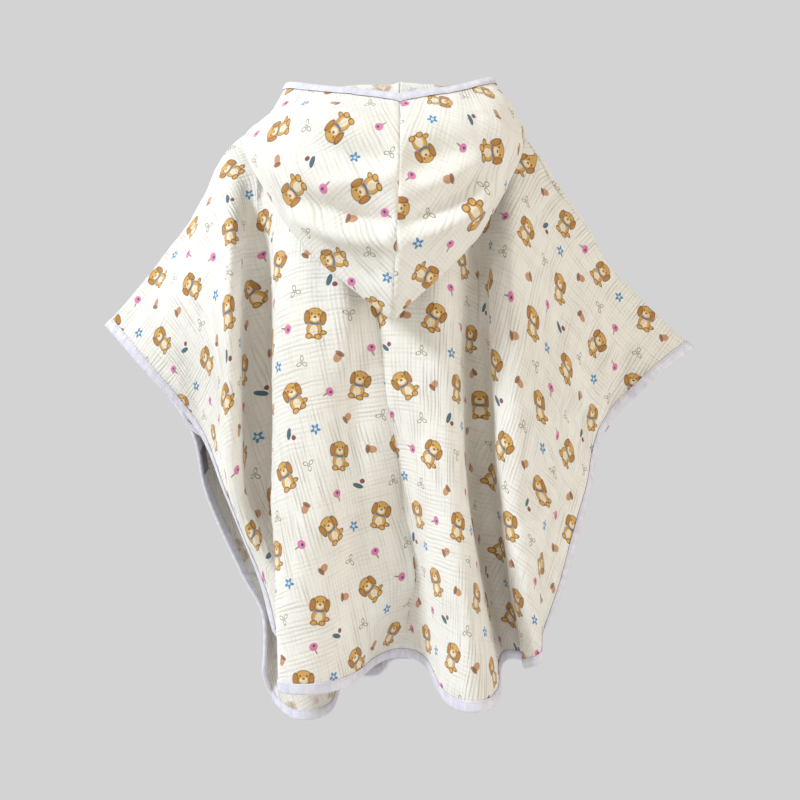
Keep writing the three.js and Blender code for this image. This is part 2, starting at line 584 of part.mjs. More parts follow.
// Colours
const gauze = new THREE.MeshStandardMaterial({ color: 0xf6f1e6, roughness: 0.9, metalness: 0 });
const satin = new THREE.MeshStandardMaterial({ color: 0xf4f1fb, roughness: 0.45, metalness: 0 });
const greyTape = new THREE.MeshStandardMaterial({ color: 0x9d9ba3, roughness: 0.6, metalness: 0 });
const whiteTape = new THREE.MeshStandardMaterial({ color: 0xffffff, roughness: 0.6, metalness: 0 });
const thread = new THREE.MeshStandardMaterial({ color: 0xe8e2f0, roughness: 0.7, metalness: 0 });

const poncho = new THREE.Group();

function sew(name, geometry, material) {
  const mesh = new THREE.Mesh(geometry, material);
  mesh.name = name;
  poncho.add(mesh);
}

sew("back_panel", clothWall(backGrid), gauze);
sew("front_panel", clothWall(frontGrid), gauze);
sew("hood_left", clothWall(hoodLeft), gauze);
sew("hood_right", clothWall(hoodRight), gauze);
sew("back_binding", foldedStrip(backGrid, panelEdge(backGrid)), satin);
sew("front_binding", foldedStrip(frontGrid, panelEdge(frontGrid)), satin);
sew("hood_binding", foldedStrip(hoodWhole, faceEdge(hoodWhole), faceEase), satin);
sew("side_label", labelOn(frontGrid, sideLabel), greyTape);
sew("size_label", labelOn(frontGrid, sizeLabel), whiteTape);
sew("tack_left", tackAt(-1), thread);
sew("tack_right", tackAt(1), thread);

export default poncho;
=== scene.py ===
import math
import bmesh
import bpy
import numpy as np
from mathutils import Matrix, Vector, noise


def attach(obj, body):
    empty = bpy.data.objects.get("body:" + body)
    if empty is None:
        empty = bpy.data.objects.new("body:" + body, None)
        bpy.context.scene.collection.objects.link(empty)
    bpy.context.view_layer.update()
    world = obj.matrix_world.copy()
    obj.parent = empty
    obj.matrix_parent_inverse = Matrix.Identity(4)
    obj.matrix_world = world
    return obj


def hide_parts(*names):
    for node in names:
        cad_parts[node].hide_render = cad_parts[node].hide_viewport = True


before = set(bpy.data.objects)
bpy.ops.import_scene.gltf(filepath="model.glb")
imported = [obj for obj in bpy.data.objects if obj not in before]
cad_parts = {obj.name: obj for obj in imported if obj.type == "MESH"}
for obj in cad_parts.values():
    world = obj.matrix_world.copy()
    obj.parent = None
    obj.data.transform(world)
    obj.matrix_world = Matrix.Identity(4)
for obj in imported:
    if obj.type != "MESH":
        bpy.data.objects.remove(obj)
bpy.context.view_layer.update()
scene = bpy.context.scene
mm = 0.001

# All tables are in millimetres, in the frame of the solids: +Z up, the wearer faces +Y, origin in the neck opening.
cloth = {"seamGap": 0.3, "shell": 1.6, "bindingWidth": 10, "bindingReach": 2.1, "bindingShell": 0.35}
neck = {"halfWidth": 72, "napeDepth": 58, "throatDepth": 62, "throatDrop": 48, "napeRise": 0}
body = {"seamLength": 365, "cornerRadius": 70, "flankShare": 0.3, "settle": 0.3}
level = {"chest": -185, "cuff": -292, "underarm": -352, "waist": -420, "hip": -510, "low": -560}
cuffCut = neck["halfWidth"] + body["seamLength"]

shoulderSeam = [
    {"share": 0, "leftX": -72, "leftY": 0, "leftZ": 0, "rightX": 72, "rightY": 0, "rightZ": 0, "frontRise": 0},
    {"share": 0.13, "leftX": -120, "leftY": 0, "leftZ": -11, "rightX": 117, "rightY": -4, "rightZ": -11, "frontRise": 3},
    {"share": 0.27, "leftX": -168, "leftY": 0, "leftZ": -24, "rightX": 149, "rightY": -12, "rightZ": -50, "frontRise": 11},
    {"share": 0.37, "leftX": -194, "leftY": 0, "leftZ": -49, "rightX": 167, "rightY": -15, "rightZ": -84, "frontRise": 13},
    {"share": 0.5, "leftX": -214, "leftY": 0, "leftZ": -90, "rightX": 198, "rightY": -14, "rightZ": -122, "frontRise": 10},
    {"share": 0.6, "leftX": -232, "leftY": 0, "leftZ": -122, "rightX": 218, "rightY": -10, "rightZ": -154, "frontRise": 6},
    {"share": 0.7, "leftX": -254, "leftY": 0, "leftZ": -151, "rightX": 241, "rightY": -6, "rightZ": -183, "frontRise": 3},
    {"share": 0.8, "leftX": -276, "leftY": 0, "leftZ": -180, "rightX": 267, "rightY": -2, "rightZ": -209, "frontRise": 0},
    {"share": 0.9, "leftX": -300, "leftY": 0, "leftZ": -208, "rightX": 294, "rightY": 0, "rightZ": -234, "frontRise": 0},
    {"share": 1, "leftX": -324, "leftY": 0, "leftZ": -234, "rightX": 322, "rightY": 0, "rightZ": -258, "frontRise": 0},
]

# Folds from the wearer's left to right. Each level holds x, y and the half width of the fold, and hem its height too.
backFolds = [
    {"name": "left edge", "kind": 0, "cut": -cuffCut, "gather": 0,
     "cuff": (-270, -17, 0), "underarm": (-219, -6, 0), "waist": (-188, -22, 0),
     "hip": (-151, -26, 0), "low": (-138, -26, 0), "hem": (-128, -22, 0, -596)},
    {"name": "left sleeve", "kind": 0, "cut": -300, "gather": 0,
     "chest": (-230, -50, 0), "underarm": (-196, -52, 0), "waist": (-179, -54, 0),
     "hip": (-142, -42, 0), "hem": (-118, -34, 0, -602)},
    {"name": "left pleat", "kind": 1, "cut": -196, "gather": 14,
     "chest": (-176, -92, 12), "underarm": (-174, -96, 12), "waist": (-168, -84, 9),
     "hip": (-130, -56, 5), "hem": (-107, -44, 4, -606)},
    {"name": "left inner pleat", "kind": 1, "cut": -156, "gather": 12,
     "chest": (-152, -34, 18), "underarm": (-150, -36, 20), "waist": (-146, -40, 18),
     "hip": (-116, -50, 8), "hem": (-90, -54, 3, -608)},
    {"name": "left drape", "kind": 1, "cut": -112, "gather": 18,
     "chest": (-98, -104, 36), "underarm": (-97, -115, 42), "waist": (-95, -120, 44),
     "hip": (-94, -122, 45), "hem": (-94, -120, 46, -614)},
    {"name": "centre trough", "kind": 1, "cut": -22, "gather": 20,
     "chest": (-26, -86, 16), "underarm": (-6, -76, 15), "waist": (1, -62, 16),
     "hip": (14, -42, 18), "hem": (2, -10, 31, -596)},
    {"name": "centre drape", "kind": 1, "cut": 44, "gather": 18,
     "chest": (38, -106, 24), "underarm": (46, -122, 25), "waist": (52, -128, 25),
     "hip": (63, -133, 27), "hem": (74, -138, 33, -628)},
    {"name": "right inner trough", "kind": 1, "cut": 96, "gather": 12,
     "chest": (82, -50, 14), "underarm": (86, -44, 17), "waist": (91, -34, 18),
     "hip": (104, -22, 19), "hem": (122, -2, 20, -600)},
    {"name": "right drape", "kind": 1, "cut": 140, "gather": 14,
     "chest": (112, -100, 20), "underarm": (114, -104, 21), "waist": (118, -103, 20),
     "hip": (127, -96, 17), "hem": (140, -76, 11, -600)},
    {"name": "right sleeve", "kind": 0, "cut": 310, "gather": 0,
     "chest": (186, -66, 0), "underarm": (176, -66, 0), "waist": (164, -66, 0),
     "hip": (156, -66, 0), "hem": (144, -60, 0, -596)},
    {"name": "right edge", "kind": 0, "cut": cuffCut, "gather": 0,
     "cuff": (278, -17, 0), "underarm": (222, -6, 0), "waist": (203, -28, 0),
     "hip": (176, -38, 0), "low": (154, -42, 0), "hem": (136, -46, 0, -592)},
]

frontFolds = [
    {"name": "left edge", "kind": 0, "cut": -cuffCut, "gather": 0,
     "cuff": (-274, 17, 0), "underarm": (-230, 6, 0), "waist": (-217, 24, 0),
     "hip": (-178, 26, 0), "low": (-152, 20, 0), "hem": (-153, 4, 0, -648)},
    {"name": "left sleeve", "kind": 0, "cut": -310, "gather": 0,
     "chest": (-232, 48, 0), "underarm": (-206, 56, 0), "waist": (-190, 60, 0),
     "hip": (-158, 58, 0), "hem": (-144, 26, 0, -664)},
    {"name": "left inner fold", "kind": 1, "cut": -150, "gather": 20,
     "chest": (-140, 54, 22), "underarm": (-130, 38, 24), "waist": (-126, 28, 24),
     "hip": (-112, 16, 26), "hem": (-100, 0, 28, -668)},
    {"name": "left drape", "kind": 1, "cut": -100, "gather": 18,
     "chest": (-84, 108, 28), "underarm": (-80, 118, 30), "waist": (-74, 120, 30),
     "hip": (-64, 118, 28), "hem": (-46, 98, 26, -640)},
    {"name": "centre trough", "kind": 1, "cut": 0, "gather": 22,
     "chest": (0, 90, 20), "underarm": (0, 86, 24), "waist": (4, 80, 24),
     "hip": (8, 72, 24), "hem": (12, 60, 24, -612)},
    {"name": "right drape", "kind": 1, "cut": 100, "gather": 18,
     "chest": (82, 110, 28), "underarm": (78, 120, 30), "waist": (76, 124, 30),
     "hip": (74, 126, 28), "hem": (72, 124, 26, -600)},
    {"name": "right inner fold", "kind": 1, "cut": 150, "gather": 20,
     "chest": (138, 56, 20), "underarm": (136, 40, 20), "waist": (134, 32, 18),
     "hip": (132, 24, 16), "hem": (132, 18, 14, -606)},
    {"name": "right sleeve", "kind": 0, "cut": 310, "gather": 0,
     "chest": (214, 50, 0), "underarm": (196, 54, 0), "waist": (182, 52, 0),
     "hip": (166, 46, 0), "hem": (152, 34, 0, -604)},
    {"name": "right edge", "kind": 0, "cut": cuffCut, "gather": 0,
     "cuff": (276, 17, 0), "underarm": (220, 6, 0), "waist": (198, 16, 0),
     "hip": (172, 12, 0), "low": (160, 10, 0), "hem": (157, 8, 0, -598)},
]


def mix(a, b, f):
    return a + (b - a) * f


def smoothStep(value, low, high):
    f = np.clip((value - low) / (high - low), 0, 1)
    return f * f * (3 - 2 * f)


def lineThrough(places, values):  # a smooth line through values at rising places
    places = np.array(places, float)
    values = np.array(values, float)
    last = len(places) - 1
    low = np.maximum(np.arange(last + 1) - 1, 0)
    high = np.minimum(np.arange(last + 1) + 1, last)
    slopes = (values[high] - values[low]) / (places[high] - places[low])

    def at(place):
        i = np.clip(np.searchsorted(places, place, side="right") - 1, 0, last - 1)
        span = places[i + 1] - places[i]
        f = np.clip((place - places[i]) / span, 0, 1)
        rise = f * f * (3 - 2 * f)
        bend = span * (slopes[i] * f * (1 - f) ** 2 - slopes[i + 1] * f * f * (1 - f))
        return mix(values[i], values[i + 1], rise) + bend

    return at


seamShares = [row["share"] for row in shoulderSeam]
seamLine = {key: lineThrough(seamShares, [row[key] for row in shoulderSeam]) for key in shoulderSeam[0]}


def topPoint(cut, facing):  # the top edge of the front (facing 1) or back (facing -1) panel
    side = "left" if cut < 0 else "right"
    beyond = abs(cut) - neck["halfWidth"]
    if beyond > 0:
        share = beyond / body["seamLength"]
        return np.array([float(seamLine[side + axis](share)) for axis in "XYZ"])
    turn = cut / neck["halfWidth"] * math.pi / 2
    depth = neck["throatDepth"] if facing > 0 else -neck["napeDepth"]
    rise = -neck["throatDrop"] if facing > 0 else neck["napeRise"]
    return np.array([neck["halfWidth"] * math.sin(turn), depth * math.cos(turn), rise * max(math.cos(turn), 0) ** 1.5])


def topNormal(cut, facing):
    step = 4 if cut > 0 else -4
    sign = math.copysign(1, cut)
    outward = np.array([sign * 0.6, 0, 0.8])
    if abs(cut) < neck["halfWidth"]:
        radial = topPoint(cut, facing) * (1, 1, 0)
        outward = radial / np.linalg.norm(radial) * 0.6 + (0, 0, 0.8)
    along = topPoint(cut + step, facing) - topPoint(cut - step, facing)
    seamNormal = np.array([-along[2], 0, along[0]]) * sign
    seamNormal /= np.linalg.norm(seamNormal)
    past = smoothStep(abs(cut), neck["halfWidth"], neck["halfWidth"] + 30)
    normal = mix(outward, seamNormal, past)
    return normal / np.linalg.norm(normal)


def panelLines(folds, facing):  # one line down a plain edge and three down a fold
    lines = []
    for index, fold in enumerate(folds):

        def nextTo(name, side):
            spot = fold[name]
            other = index + side
            beside = folds[other].get(name) if 0 <= other < len(folds) else None
            return mix(spot[1], (beside or spot)[1], body["flankShare"])

        for flank in (-1, 0, 1) if fold["kind"] else (0,):
            cut = fold["cut"] + flank * fold["gather"]
            top = topPoint(cut, facing)
            knots = []
            for name in ["hem", *reversed(level)]:
                spot = fold.get(name)
                z = spot[3] if name == "hem" else level[name]
                if not spot or z > top[2] - 25:
                    continue
                y = nextTo(name, flank) if flank else spot[1]
                if fold["kind"] and not flank:
                    y = (6 * spot[1] - nextTo(name, -1) - nextTo(name, 1)) / 4
                knots.append((spot[0] + flank * spot[2], y, z))
            knots.append(tuple(top))
            heights = [knot[2] for knot in knots]
            lines.append({
                "cut": cut, "top": top, "hem": fold["hem"][3],
                "x": lineThrough(heights, [knot[0] for knot in knots]),
                "y": lineThrough(heights, [knot[1] for knot in knots]),
            })
    return lines


def shares(lines, across):  # which lines a place takes its form from, and how much of each
    last = len(lines) - 1
    place = min(int(across), last - 1)
    f = across - place
    weights = [(1 - f) ** 3 / 6, (3 * f**3 - 6 * f**2 + 4) / 6, (-3 * f**3 + 3 * f**2 + 3 * f + 1) / 6, f**3 / 6]
    taken = {}
    for k, weight in enumerate(weights):
        index = place - 1 + k
        if index < 0:
            pairs = [(0, 2 * weight), (1, -weight)]
        elif index > last:
            pairs = [(last, 2 * weight), (last - 1, -weight)]
        else:
            pairs = [(index, weight)]
        for line, amount in pairs:
            taken[line] = taken.get(line, 0) + amount
    return taken.items()


def cutAt(lines, across):
    return sum(lines[i]["cut"] * weight for i, weight in shares(lines, across))


def panelColumn(lines, facing, across, downs):
    points = np.zeros((len(downs), 3))
    loose = np.zeros(3)
    for i, weight in shares(lines, across):
        line = lines[i]
        z = mix(line["top"][2], line["hem"], downs)
        points += weight * np.stack([line["x"](z), line["y"](z), z], axis=1)
        loose += weight * line["top"]
    cut = cutAt(lines, across)
    if facing > 0 and cut > neck["halfWidth"]:
        share = (cut - neck["halfWidth"]) / body["seamLength"]
        place = downs[:, None] / 0.04
        points += topNormal(cut, 1) * float(seamLine["frontRise"](share)) * place * np.exp(1 - place)
    held = topPoint(cut, facing) - loose
    points += held * (np.clip(1 - downs / body["settle"], 0, 1) ** 2)[:, None]
    return points


def runningLengths(points, axis=0):
    steps = np.linalg.norm(np.diff(points, axis=axis), axis=-1)
    start = np.zeros_like(np.take(steps, [0], axis=axis))
    return np.concatenate([start, np.cumsum(steps, axis=axis)], axis=axis)


def panelPoints(folds, facing, fine):  # a grid of points, columns from left to right and rows from the top down
    lines = panelLines(folds, facing)
    places = [0.0]
    for span in range(len(lines) - 1):
        width = cutAt(lines, span + 1) - cutAt(lines, span)
        count = max(fine["perSpan"], round(width / fine["widest"]))
        places += [span + (k + 1) / count for k in range(count)]
    ends = np.array([0, 0.5, 1.0])
    marks = np.array([panelColumn(lines, facing, across, ends) for across in places])
    hem = runningLengths(marks[:, 2])
    grid = []
    for i, across in enumerate(places):
        fromEdge = min(hem[i], hem[-1] - hem[i])
        short = max(1 - fromEdge / body["cornerRadius"], 0)
        length = np.linalg.norm(marks[i, 1] - marks[i, 0]) + np.linalg.norm(marks[i, 2] - marks[i, 1])
        end = 1 - body["cornerRadius"] * 0.5 * short**2 / length
        downs = end * (np.arange(fine["rows"] + 1) / fine["rows"]) ** 1.1
        column = panelColumn(lines, facing, across, downs)
        column[0, 1] += facing * cloth["seamGap"]
        grid.append(column)
    return np.array(grid)


def outwardNormals(points, flip):
    normals = np.cross(np.gradient(points, axis=0), np.gradient(points, axis=1)) * flip
    return normals / np.maximum(np.linalg.norm(normals, axis=2, keepdims=True), 1e-9)


def inCellPlane(points, corners):  # each cell's four corners, laid out in its own plane
    spots = [points[corner] for corner in corners]
    middle = sum(spots) / 4
    across = spots[1] + spots[2] - spots[0] - spots[3]
    across /= np.maximum(np.linalg.norm(across, axis=2, keepdims=True), 1e-9)
    down = spots[2] + spots[3] - spots[0] - spots[1]
    down = down - across * (down * across).sum(axis=2, keepdims=True)
    down /= np.maximum(np.linalg.norm(down, axis=2, keepdims=True), 1e-9)
    return [np.stack([((spot - middle) * across).sum(axis=2), ((spot - middle) * down).sum(axis=2)], axis=2)
            for spot in spots]


def flatCut(points, middle, rounds=500):  # where each point lies on the cloth before it is hung
    across = runningLengths(points, 0)
    across = across - across[middle][None, :]
    flat = np.stack([across, runningLengths(points, 1)], axis=2)
    low, high = slice(None, -1), slice(1, None)
    corners = ((low, low), (high, low), (high, high), (low, high))
    cells = inCellPlane(points, corners)
    shared = np.zeros(flat.shape[:2] + (1,))
    for corner in corners:
        shared[corner] += 1
    drift = np.zeros_like(flat)
    for _ in range(rounds):  # each cell asks for its own shape, and the points meet those wishes halfway
        spots = [flat[corner] for corner in corners]
        centre = sum(spots) / 4
        even = sum((cell * (spot - centre)).sum(axis=2) for cell, spot in zip(cells, spots))
        turned = sum(cell[:, :, 0] * (spot - centre)[:, :, 1] - cell[:, :, 1] * (spot - centre)[:, :, 0]
                     for cell, spot in zip(cells, spots))
        size = np.maximum(np.hypot(even, turned), 1e-9)
        even, turned = even / size, turned / size
        wished = np.zeros_like(flat)
        for corner, cell in zip(corners, cells):
            wished[corner] += centre + np.stack([
                even * cell[:, :, 0] - turned * cell[:, :, 1], turned * cell[:, :, 0] + even * cell[:, :, 1]], axis=2)
        drift = 0.95 * drift + 0.5 * (wished / shared - flat)
        flat = flat + drift
    return flat


def creaseHeights(points, creases):  # places are x and z, as seen from behind
    seen = points[:, :, [0, 2]]
    total = np.zeros(seen.shape[:2])
    for crease in creases:
        start = np.array(crease["start"], float)
        end = np.array(crease["end"], float)
        run = end - start
        length = np.linalg.norm(run)
        along = ((seen - start) @ run) / length**2
        held = np.clip(along, 0, 1)
        side = ((seen - start) @ np.array([-run[1], run[0]])) / length - crease["bow"] * 4 * held * (1 - held)
        past = (along - held) * length
        spread = np.exp(-(side**2 + past**2) / crease["width"] ** 2)
        total += crease["height"] * spread * (0.35 + 0.65 * np.sin(math.pi * held) ** 0.7)
    return total


def gauzeRipple(flat, seed):  # shallow ripples of the crinkled gauze, longer down the cloth than across it
    heights = np.zeros(flat.shape[:2])
    for i in range(flat.shape[0]):
        for j in range(flat.shape[1]):
            u, v = flat[i, j]
            wander = 9 * noise.noise(Vector((u / 70, v / 90, seed + 4)))
            long = noise.noise(Vector(((u + wander) / 11, v / 95, seed)))
            crossing = noise.noise(Vector((u / 80, (v + wander) / 10, seed + 9)))
            swell = noise.noise(Vector((u / 46, v / 60, seed + 17)))
            heights[i, j] = 0.8 * long + 0.5 * crossing + 1.6 * swell
    return heights


def sheetFrom(name, points, flat, flip):  # a grid laid out by bmesh and then hung on its points
    columns, rows = points.shape[0] - 1, points.shape[1] - 1
    bm = bmesh.new()
    bmesh.ops.create_grid(bm, x_segments=columns, y_segments=rows, size=0.5)
    uvLayer = bm.loops.layers.uv.new("flatCut")
    spots = {vert: (round((vert.co.x + 0.5) * columns), round((0.5 - vert.co.y) * rows)) for vert in bm.verts}
    for face in bm.faces:
        for loop in face.loops:
            loop[uvLayer].uv = flat[spots[loop.vert]] * mm
    for vert, spot in spots.items():
        vert.co = points[spot] * mm
    if flip:
        bmesh.ops.reverse_faces(bm, faces=bm.faces)
    mesh = bpy.data.meshes.new(name)
    bm.to_mesh(mesh)
    bm.free()
    mesh.shade_smooth()
    piece = bpy.data.objects.new(name, mesh)
    scene.collection.objects.link(piece)
    return piece


def giveThickness(piece, thickness, offset, sides):
    shell = piece.modifiers.new("shell", "SOLIDIFY")
    shell.thickness = thickness * mm
    shell.offset = offset
    shell.use_even_offset = False
    shell.material_offset = sides


# Materials. Colours are as they look, on a scale to 255.
def tone(red, green, blue):
    def linear(value):
        value /= 255
        return value / 12.92 if value <= 0.04045 else ((value + 0.055) / 1.055) ** 2.4

    return (linear(red), linear(green), linear(blue), 1)


def node(tree, kind, inputs=(), **settings):
    made = tree.nodes.new(kind)
    for key, value in settings.items():
        setattr(made, key, value)
    for key, value in dict(inputs).items():
        if isinstance(value, bpy.types.NodeSocket):
            tree.links.new(value, made.inputs[key])
        else:
            made.inputs[key].default_value = value
    return made


def calc(tree, operation, *values):
    return node(tree, "ShaderNodeMath", enumerate(values), operation=operation).outputs[0]


def vectorCalc(tree, operation, *values):
    made = node(tree, "ShaderNodeVectorMath", enumerate(values), operation=operation)
    return made.outputs["Value" if operation in ("LENGTH", "DOT_PRODUCT", "DISTANCE") else "Vector"]


def remap(tree, value, low, high, toLow=0.0, toHigh=1.0):
    inputs = {"Value": value, "From Min": low, "From Max": high, "To Min": toLow, "To Max": toHigh}
    return node(tree, "ShaderNodeMapRange", inputs).outputs["Result"]


def blend(tree, factor, under, over, mode="MIX"):
    made = node(tree, "ShaderNodeMix", {0: factor, 6: under, 7: over}, data_type="RGBA", blend_type=mode)
    return made.outputs[2]


def noiseAt(tree, vector, scale, detail=2.0, roughness=0.5, distortion=0.0):
    inputs = {"Vector": vector, "Scale": scale, "Detail": detail, "Roughness": roughness, "Distortion": distortion}
    return node(tree, "ShaderNodeTexNoise", inputs).outputs["Fac"]


def stretched(tree, vector, x, y, z=1.0):
    return vectorCalc(tree, "MULTIPLY", vector, (x, y, z))


# The print: puppies in a slanted repeat, with small flowers, buds, leaves and nuts between them.
toss = {
    "pitch": 70, "lean": 0.5, "ink": 0.92, "dot": 35,
    "honey": (228, 180, 98), "tan": (196, 140, 70), "outline": (140, 96, 52), "cream": (250, 238, 214),
    "blue": (30, 140, 208), "night": (44, 78, 128), "pink": (230, 122, 178), "olive": (146, 140, 112),
    "nut": (206, 150, 112), "cap": (150, 104, 74), "teal": (38, 92, 112), "berry": (132, 40, 56),
}
# Each row is one puppy of the repeat: how far it is moved across and down its cell, and its turn in degrees.
puppyChart = [
    (0, 2, -14), (3, -3, 22), (-3, 0, -30), (2, 3, 8),
    (-2, -2, 16), (2, 0, -24), (0, 3, 34), (-3, -2, -6),
    (3, 1, 10), (-1, -3, -18), (1, 2, 26), (-3, 2, -36),
]
# Each row is one small figure: moved across, moved down, turn, kind. Nothing stands where a puppy is.
trinkets = ["none", "daisy", "bud", "leaves", "nut", "sprig"]
trinketChart = [
    (2, -1, 20, "daisy"), (-3, 2, 80, "leaves"), (0, 3, -40, "nut"), (3, 0, 10, "bud"), (-2, -3, 60, "sprig"), (1, 2, -30, "leaves"),
    (-2, 1, 140, "nut"), (0, 0, 0, "none"), (2, 2, -70, "bud"), (0, 0, 0, "none"), (-1, 3, 35, "daisy"), (0, 0, 0, "none"),
    (1, 3, 100, "leaves"), (3, -2, -20, "sprig"), (-3, 0, 50, "daisy"), (0, -3, 120, "nut"), (2, 1, -60, "leaves"), (-2, 2, 15, "bud"),
    (3, 1, -110, "bud"), (0, 0, 0, "none"), (-2, -2, 30, "leaves"), (0, 0, 0, "none"), (1, -1, 75, "nut"), (0, 0, 0, "none"),
]


def chartAt(tree, cell, wide, tall, rows):  # looks a cell of the repeat up in a chart
    parts = node(tree, "ShaderNodeSeparateXYZ", {0: cell}).outputs
    column = calc(tree, "FLOORED_MODULO", parts[0], wide)
    row = calc(tree, "FLOORED_MODULO", parts[1], tall)
    index = calc(tree, "MULTIPLY_ADD", row, wide, column)
    place = calc(tree, "MULTIPLY_ADD", index, 1 / len(rows), 0.5 / len(rows))
    ramp = node(tree, "ShaderNodeValToRGB", {0: place})
    ramp.color_ramp.interpolation = "CONSTANT"
    stops = ramp.color_ramp.elements
    stops.remove(stops[1])
    for i, row in enumerate(rows):
        stop = stops[0] if i == 0 else stops.new(i / len(rows))
        kind = trinkets.index(row[3]) / 8 if len(row) > 3 else 0
        stop.color = (row[0] / 20 + 0.5, row[1] / 20 + 0.5, row[2] / 360 + 0.5, kind)
    return ramp.outputs["Color"], ramp.outputs["Alpha"]


def cellPlace(tree, flat, pitch, shift, size, wide, tall, rows):  # where a point lies from the middle of its own figure
    parts = node(tree, "ShaderNodeSeparateXYZ", {0: flat}).outputs
    slanted = calc(tree, "MULTIPLY_ADD", parts[1], toss["lean"], parts[0])
    a = calc(tree, "MULTIPLY_ADD", slanted, 1 / pitch, shift)
    b = calc(tree, "MULTIPLY_ADD", parts[1], 1 / pitch, shift)
    cell = vectorCalc(tree, "FLOOR", node(tree, "ShaderNodeCombineXYZ", {0: a, 1: b}).outputs[0])
    cellParts = node(tree, "ShaderNodeSeparateXYZ", {0: cell}).outputs
    down = calc(tree, "MULTIPLY_ADD", cellParts[1], pitch, (0.5 - shift) * pitch)
    slantedMiddle = calc(tree, "MULTIPLY_ADD", cellParts[0], pitch, (0.5 - shift) * pitch)
    across = calc(tree, "MULTIPLY_ADD", down, -toss["lean"], slantedMiddle)
    middle = node(tree, "ShaderNodeCombineXYZ", {0: across, 1: down}).outputs[0]
    chart, kind = chartAt(tree, cell, wide, tall, rows)
    moved = vectorCalc(tree, "MULTIPLY_ADD", chart, (20, 20, 0), (-10, -10, 0))
    fromMiddle = vectorCalc(tree, "SUBTRACT", vectorCalc(tree, "SUBTRACT", flat, middle), moved)
    turn = calc(tree, "MULTIPLY_ADD", node(tree, "ShaderNodeSeparateXYZ", {0: chart}).outputs[2], math.tau, -math.pi)
    turned = node(tree, "ShaderNodeVectorRotate", {"Vector": fromMiddle, "Angle": turn}, rotation_type="Z_AXIS")
    return stretched(tree, turned.outputs[0], 1 / size, 1 / size), kind


def ellipse(tree, place, across, up, wide, tall):  # under 1 inside the ellipse, with up counted from the middle
    scaled = vectorCalc(tree, "MULTIPLY_ADD", place, (1 / wide, -1 / tall, 0), (-across / wide, -up / tall, 0))
    return vectorCalc(tree, "LENGTH", scaled)


def ink(tree, colour, shape, edge, name, mask):
    cover = calc(tree, "MULTIPLY", remap(tree, shape, edge + 0.06, edge - 0.06), mask)
    return blend(tree, cover, colour, tone(*toss[name]))


def puppy(tree, colour, place, mask):
    parts = node(tree, "ShaderNodeSeparateXYZ", {0: place}).outputs
    paired = node(tree, "ShaderNodeCombineXYZ", {0: calc(tree, "ABSOLUTE", parts[0]), 1: parts[1]}).outputs[0]
    for where, across, up, wide, tall, name, outlined in (
        (place, 8.0, -8.5, 3.8, 2.0, "honey", True), (place, 0, -6.2, 7.2, 7.8, "honey", True),
        (place, 0, -7.4, 4.0, 5.2, "cream", False), (paired, 4.4, -12.6, 3.3, 2.3, "honey", True),
        (place, 0, -0.4, 5.6, 1.7, "blue", False), (place, 0, 6.4, 8.2, 7.0, "honey", True),
        (paired, 7.9, 4.6, 2.7, 5.6, "tan", True), (place, 0, 3.9, 3.9, 3.0, "cream", False),
        (place, 0, 5.3, 1.6, 1.1, "outline", False), (paired, 3.3, 8.0, 0.95, 1.1, "outline", False),
    ):
        shape = ellipse(tree, where, across, up, wide, tall)
        if outlined:
            colour = ink(tree, colour, shape, 1 + 0.45 / min(wide, tall), "outline", mask)
        colour = ink(tree, colour, shape, 1 - (0.45 / min(wide, tall) if outlined else 0), name, mask)
    return colour


def daisy(tree, colour, place, mask):
    parts = node(tree, "ShaderNodeSeparateXYZ", {0: place}).outputs
    turn = calc(tree, "ARCTAN2", parts[1], parts[0])
    petals = calc(tree, "MULTIPLY_ADD", calc(tree, "COSINE", calc(tree, "MULTIPLY", turn, 5.0)), 1.3, 3.6)
    shape = calc(tree, "DIVIDE", vectorCalc(tree, "LENGTH", place), petals)
    colour = ink(tree, colour, shape, 1, "blue", mask)
    return ink(tree, colour, ellipse(tree, place, 0, 0, 1.4, 1.4), 1, "cream", mask)


def bud(tree, colour, place, mask):
    colour = ink(tree, colour, ellipse(tree, place, 0, -3.6, 0.7, 3.0), 1, "olive", mask)
    colour = ink(tree, colour, ellipse(tree, place, 0, 1.0, 3.9, 3.4), 1, "pink", mask)
    return ink(tree, colour, ellipse(tree, place, 0.6, 1.6, 1.2, 1.2), 1, "night", mask)


def leaves(tree, colour, place, mask):  # three outlined leaves from one stalk
    parts = node(tree, "ShaderNodeSeparateXYZ", {0: place}).outputs
    third = math.tau / 3
    turn = calc(tree, "ARCTAN2", parts[1], parts[0])
    folded = calc(tree, "SUBTRACT", calc(tree, "FLOORED_MODULO", calc(tree, "ADD", turn, third / 2), third), third / 2)
    reach = vectorCalc(tree, "LENGTH", place)
    leaf = node(tree, "ShaderNodeCombineXYZ", {
        0: calc(tree, "MULTIPLY", reach, calc(tree, "COSINE", folded)),
        1: calc(tree, "MULTIPLY", reach, calc(tree, "SINE", folded)),
    }).outputs[0]
    shape = ellipse(tree, leaf, 3.1, 0, 2.5, 1.6)
    rim = calc(tree, "ABSOLUTE", calc(tree, "SUBTRACT", shape, 0.9))
    return ink(tree, colour, rim, 0.18, "olive", mask)


def nut(tree, colour, place, mask):
    colour = ink(tree, colour, ellipse(tree, place, 0, -1.2, 3.2, 4.2), 1, "nut", mask)
    return ink(tree, colour, ellipse(tree, place, 0, 2.6, 3.9, 1.9), 1, "cap", mask)


def sprig(tree, colour, place, mask):
    colour = ink(tree, colour, ellipse(tree, place, -1.6, 0, 2.1, 5.0), 1, "teal", mask)
    return ink(tree, colour, ellipse(tree, place, 3.4, -2.6, 2.1, 2.1), 1, "berry", mask)


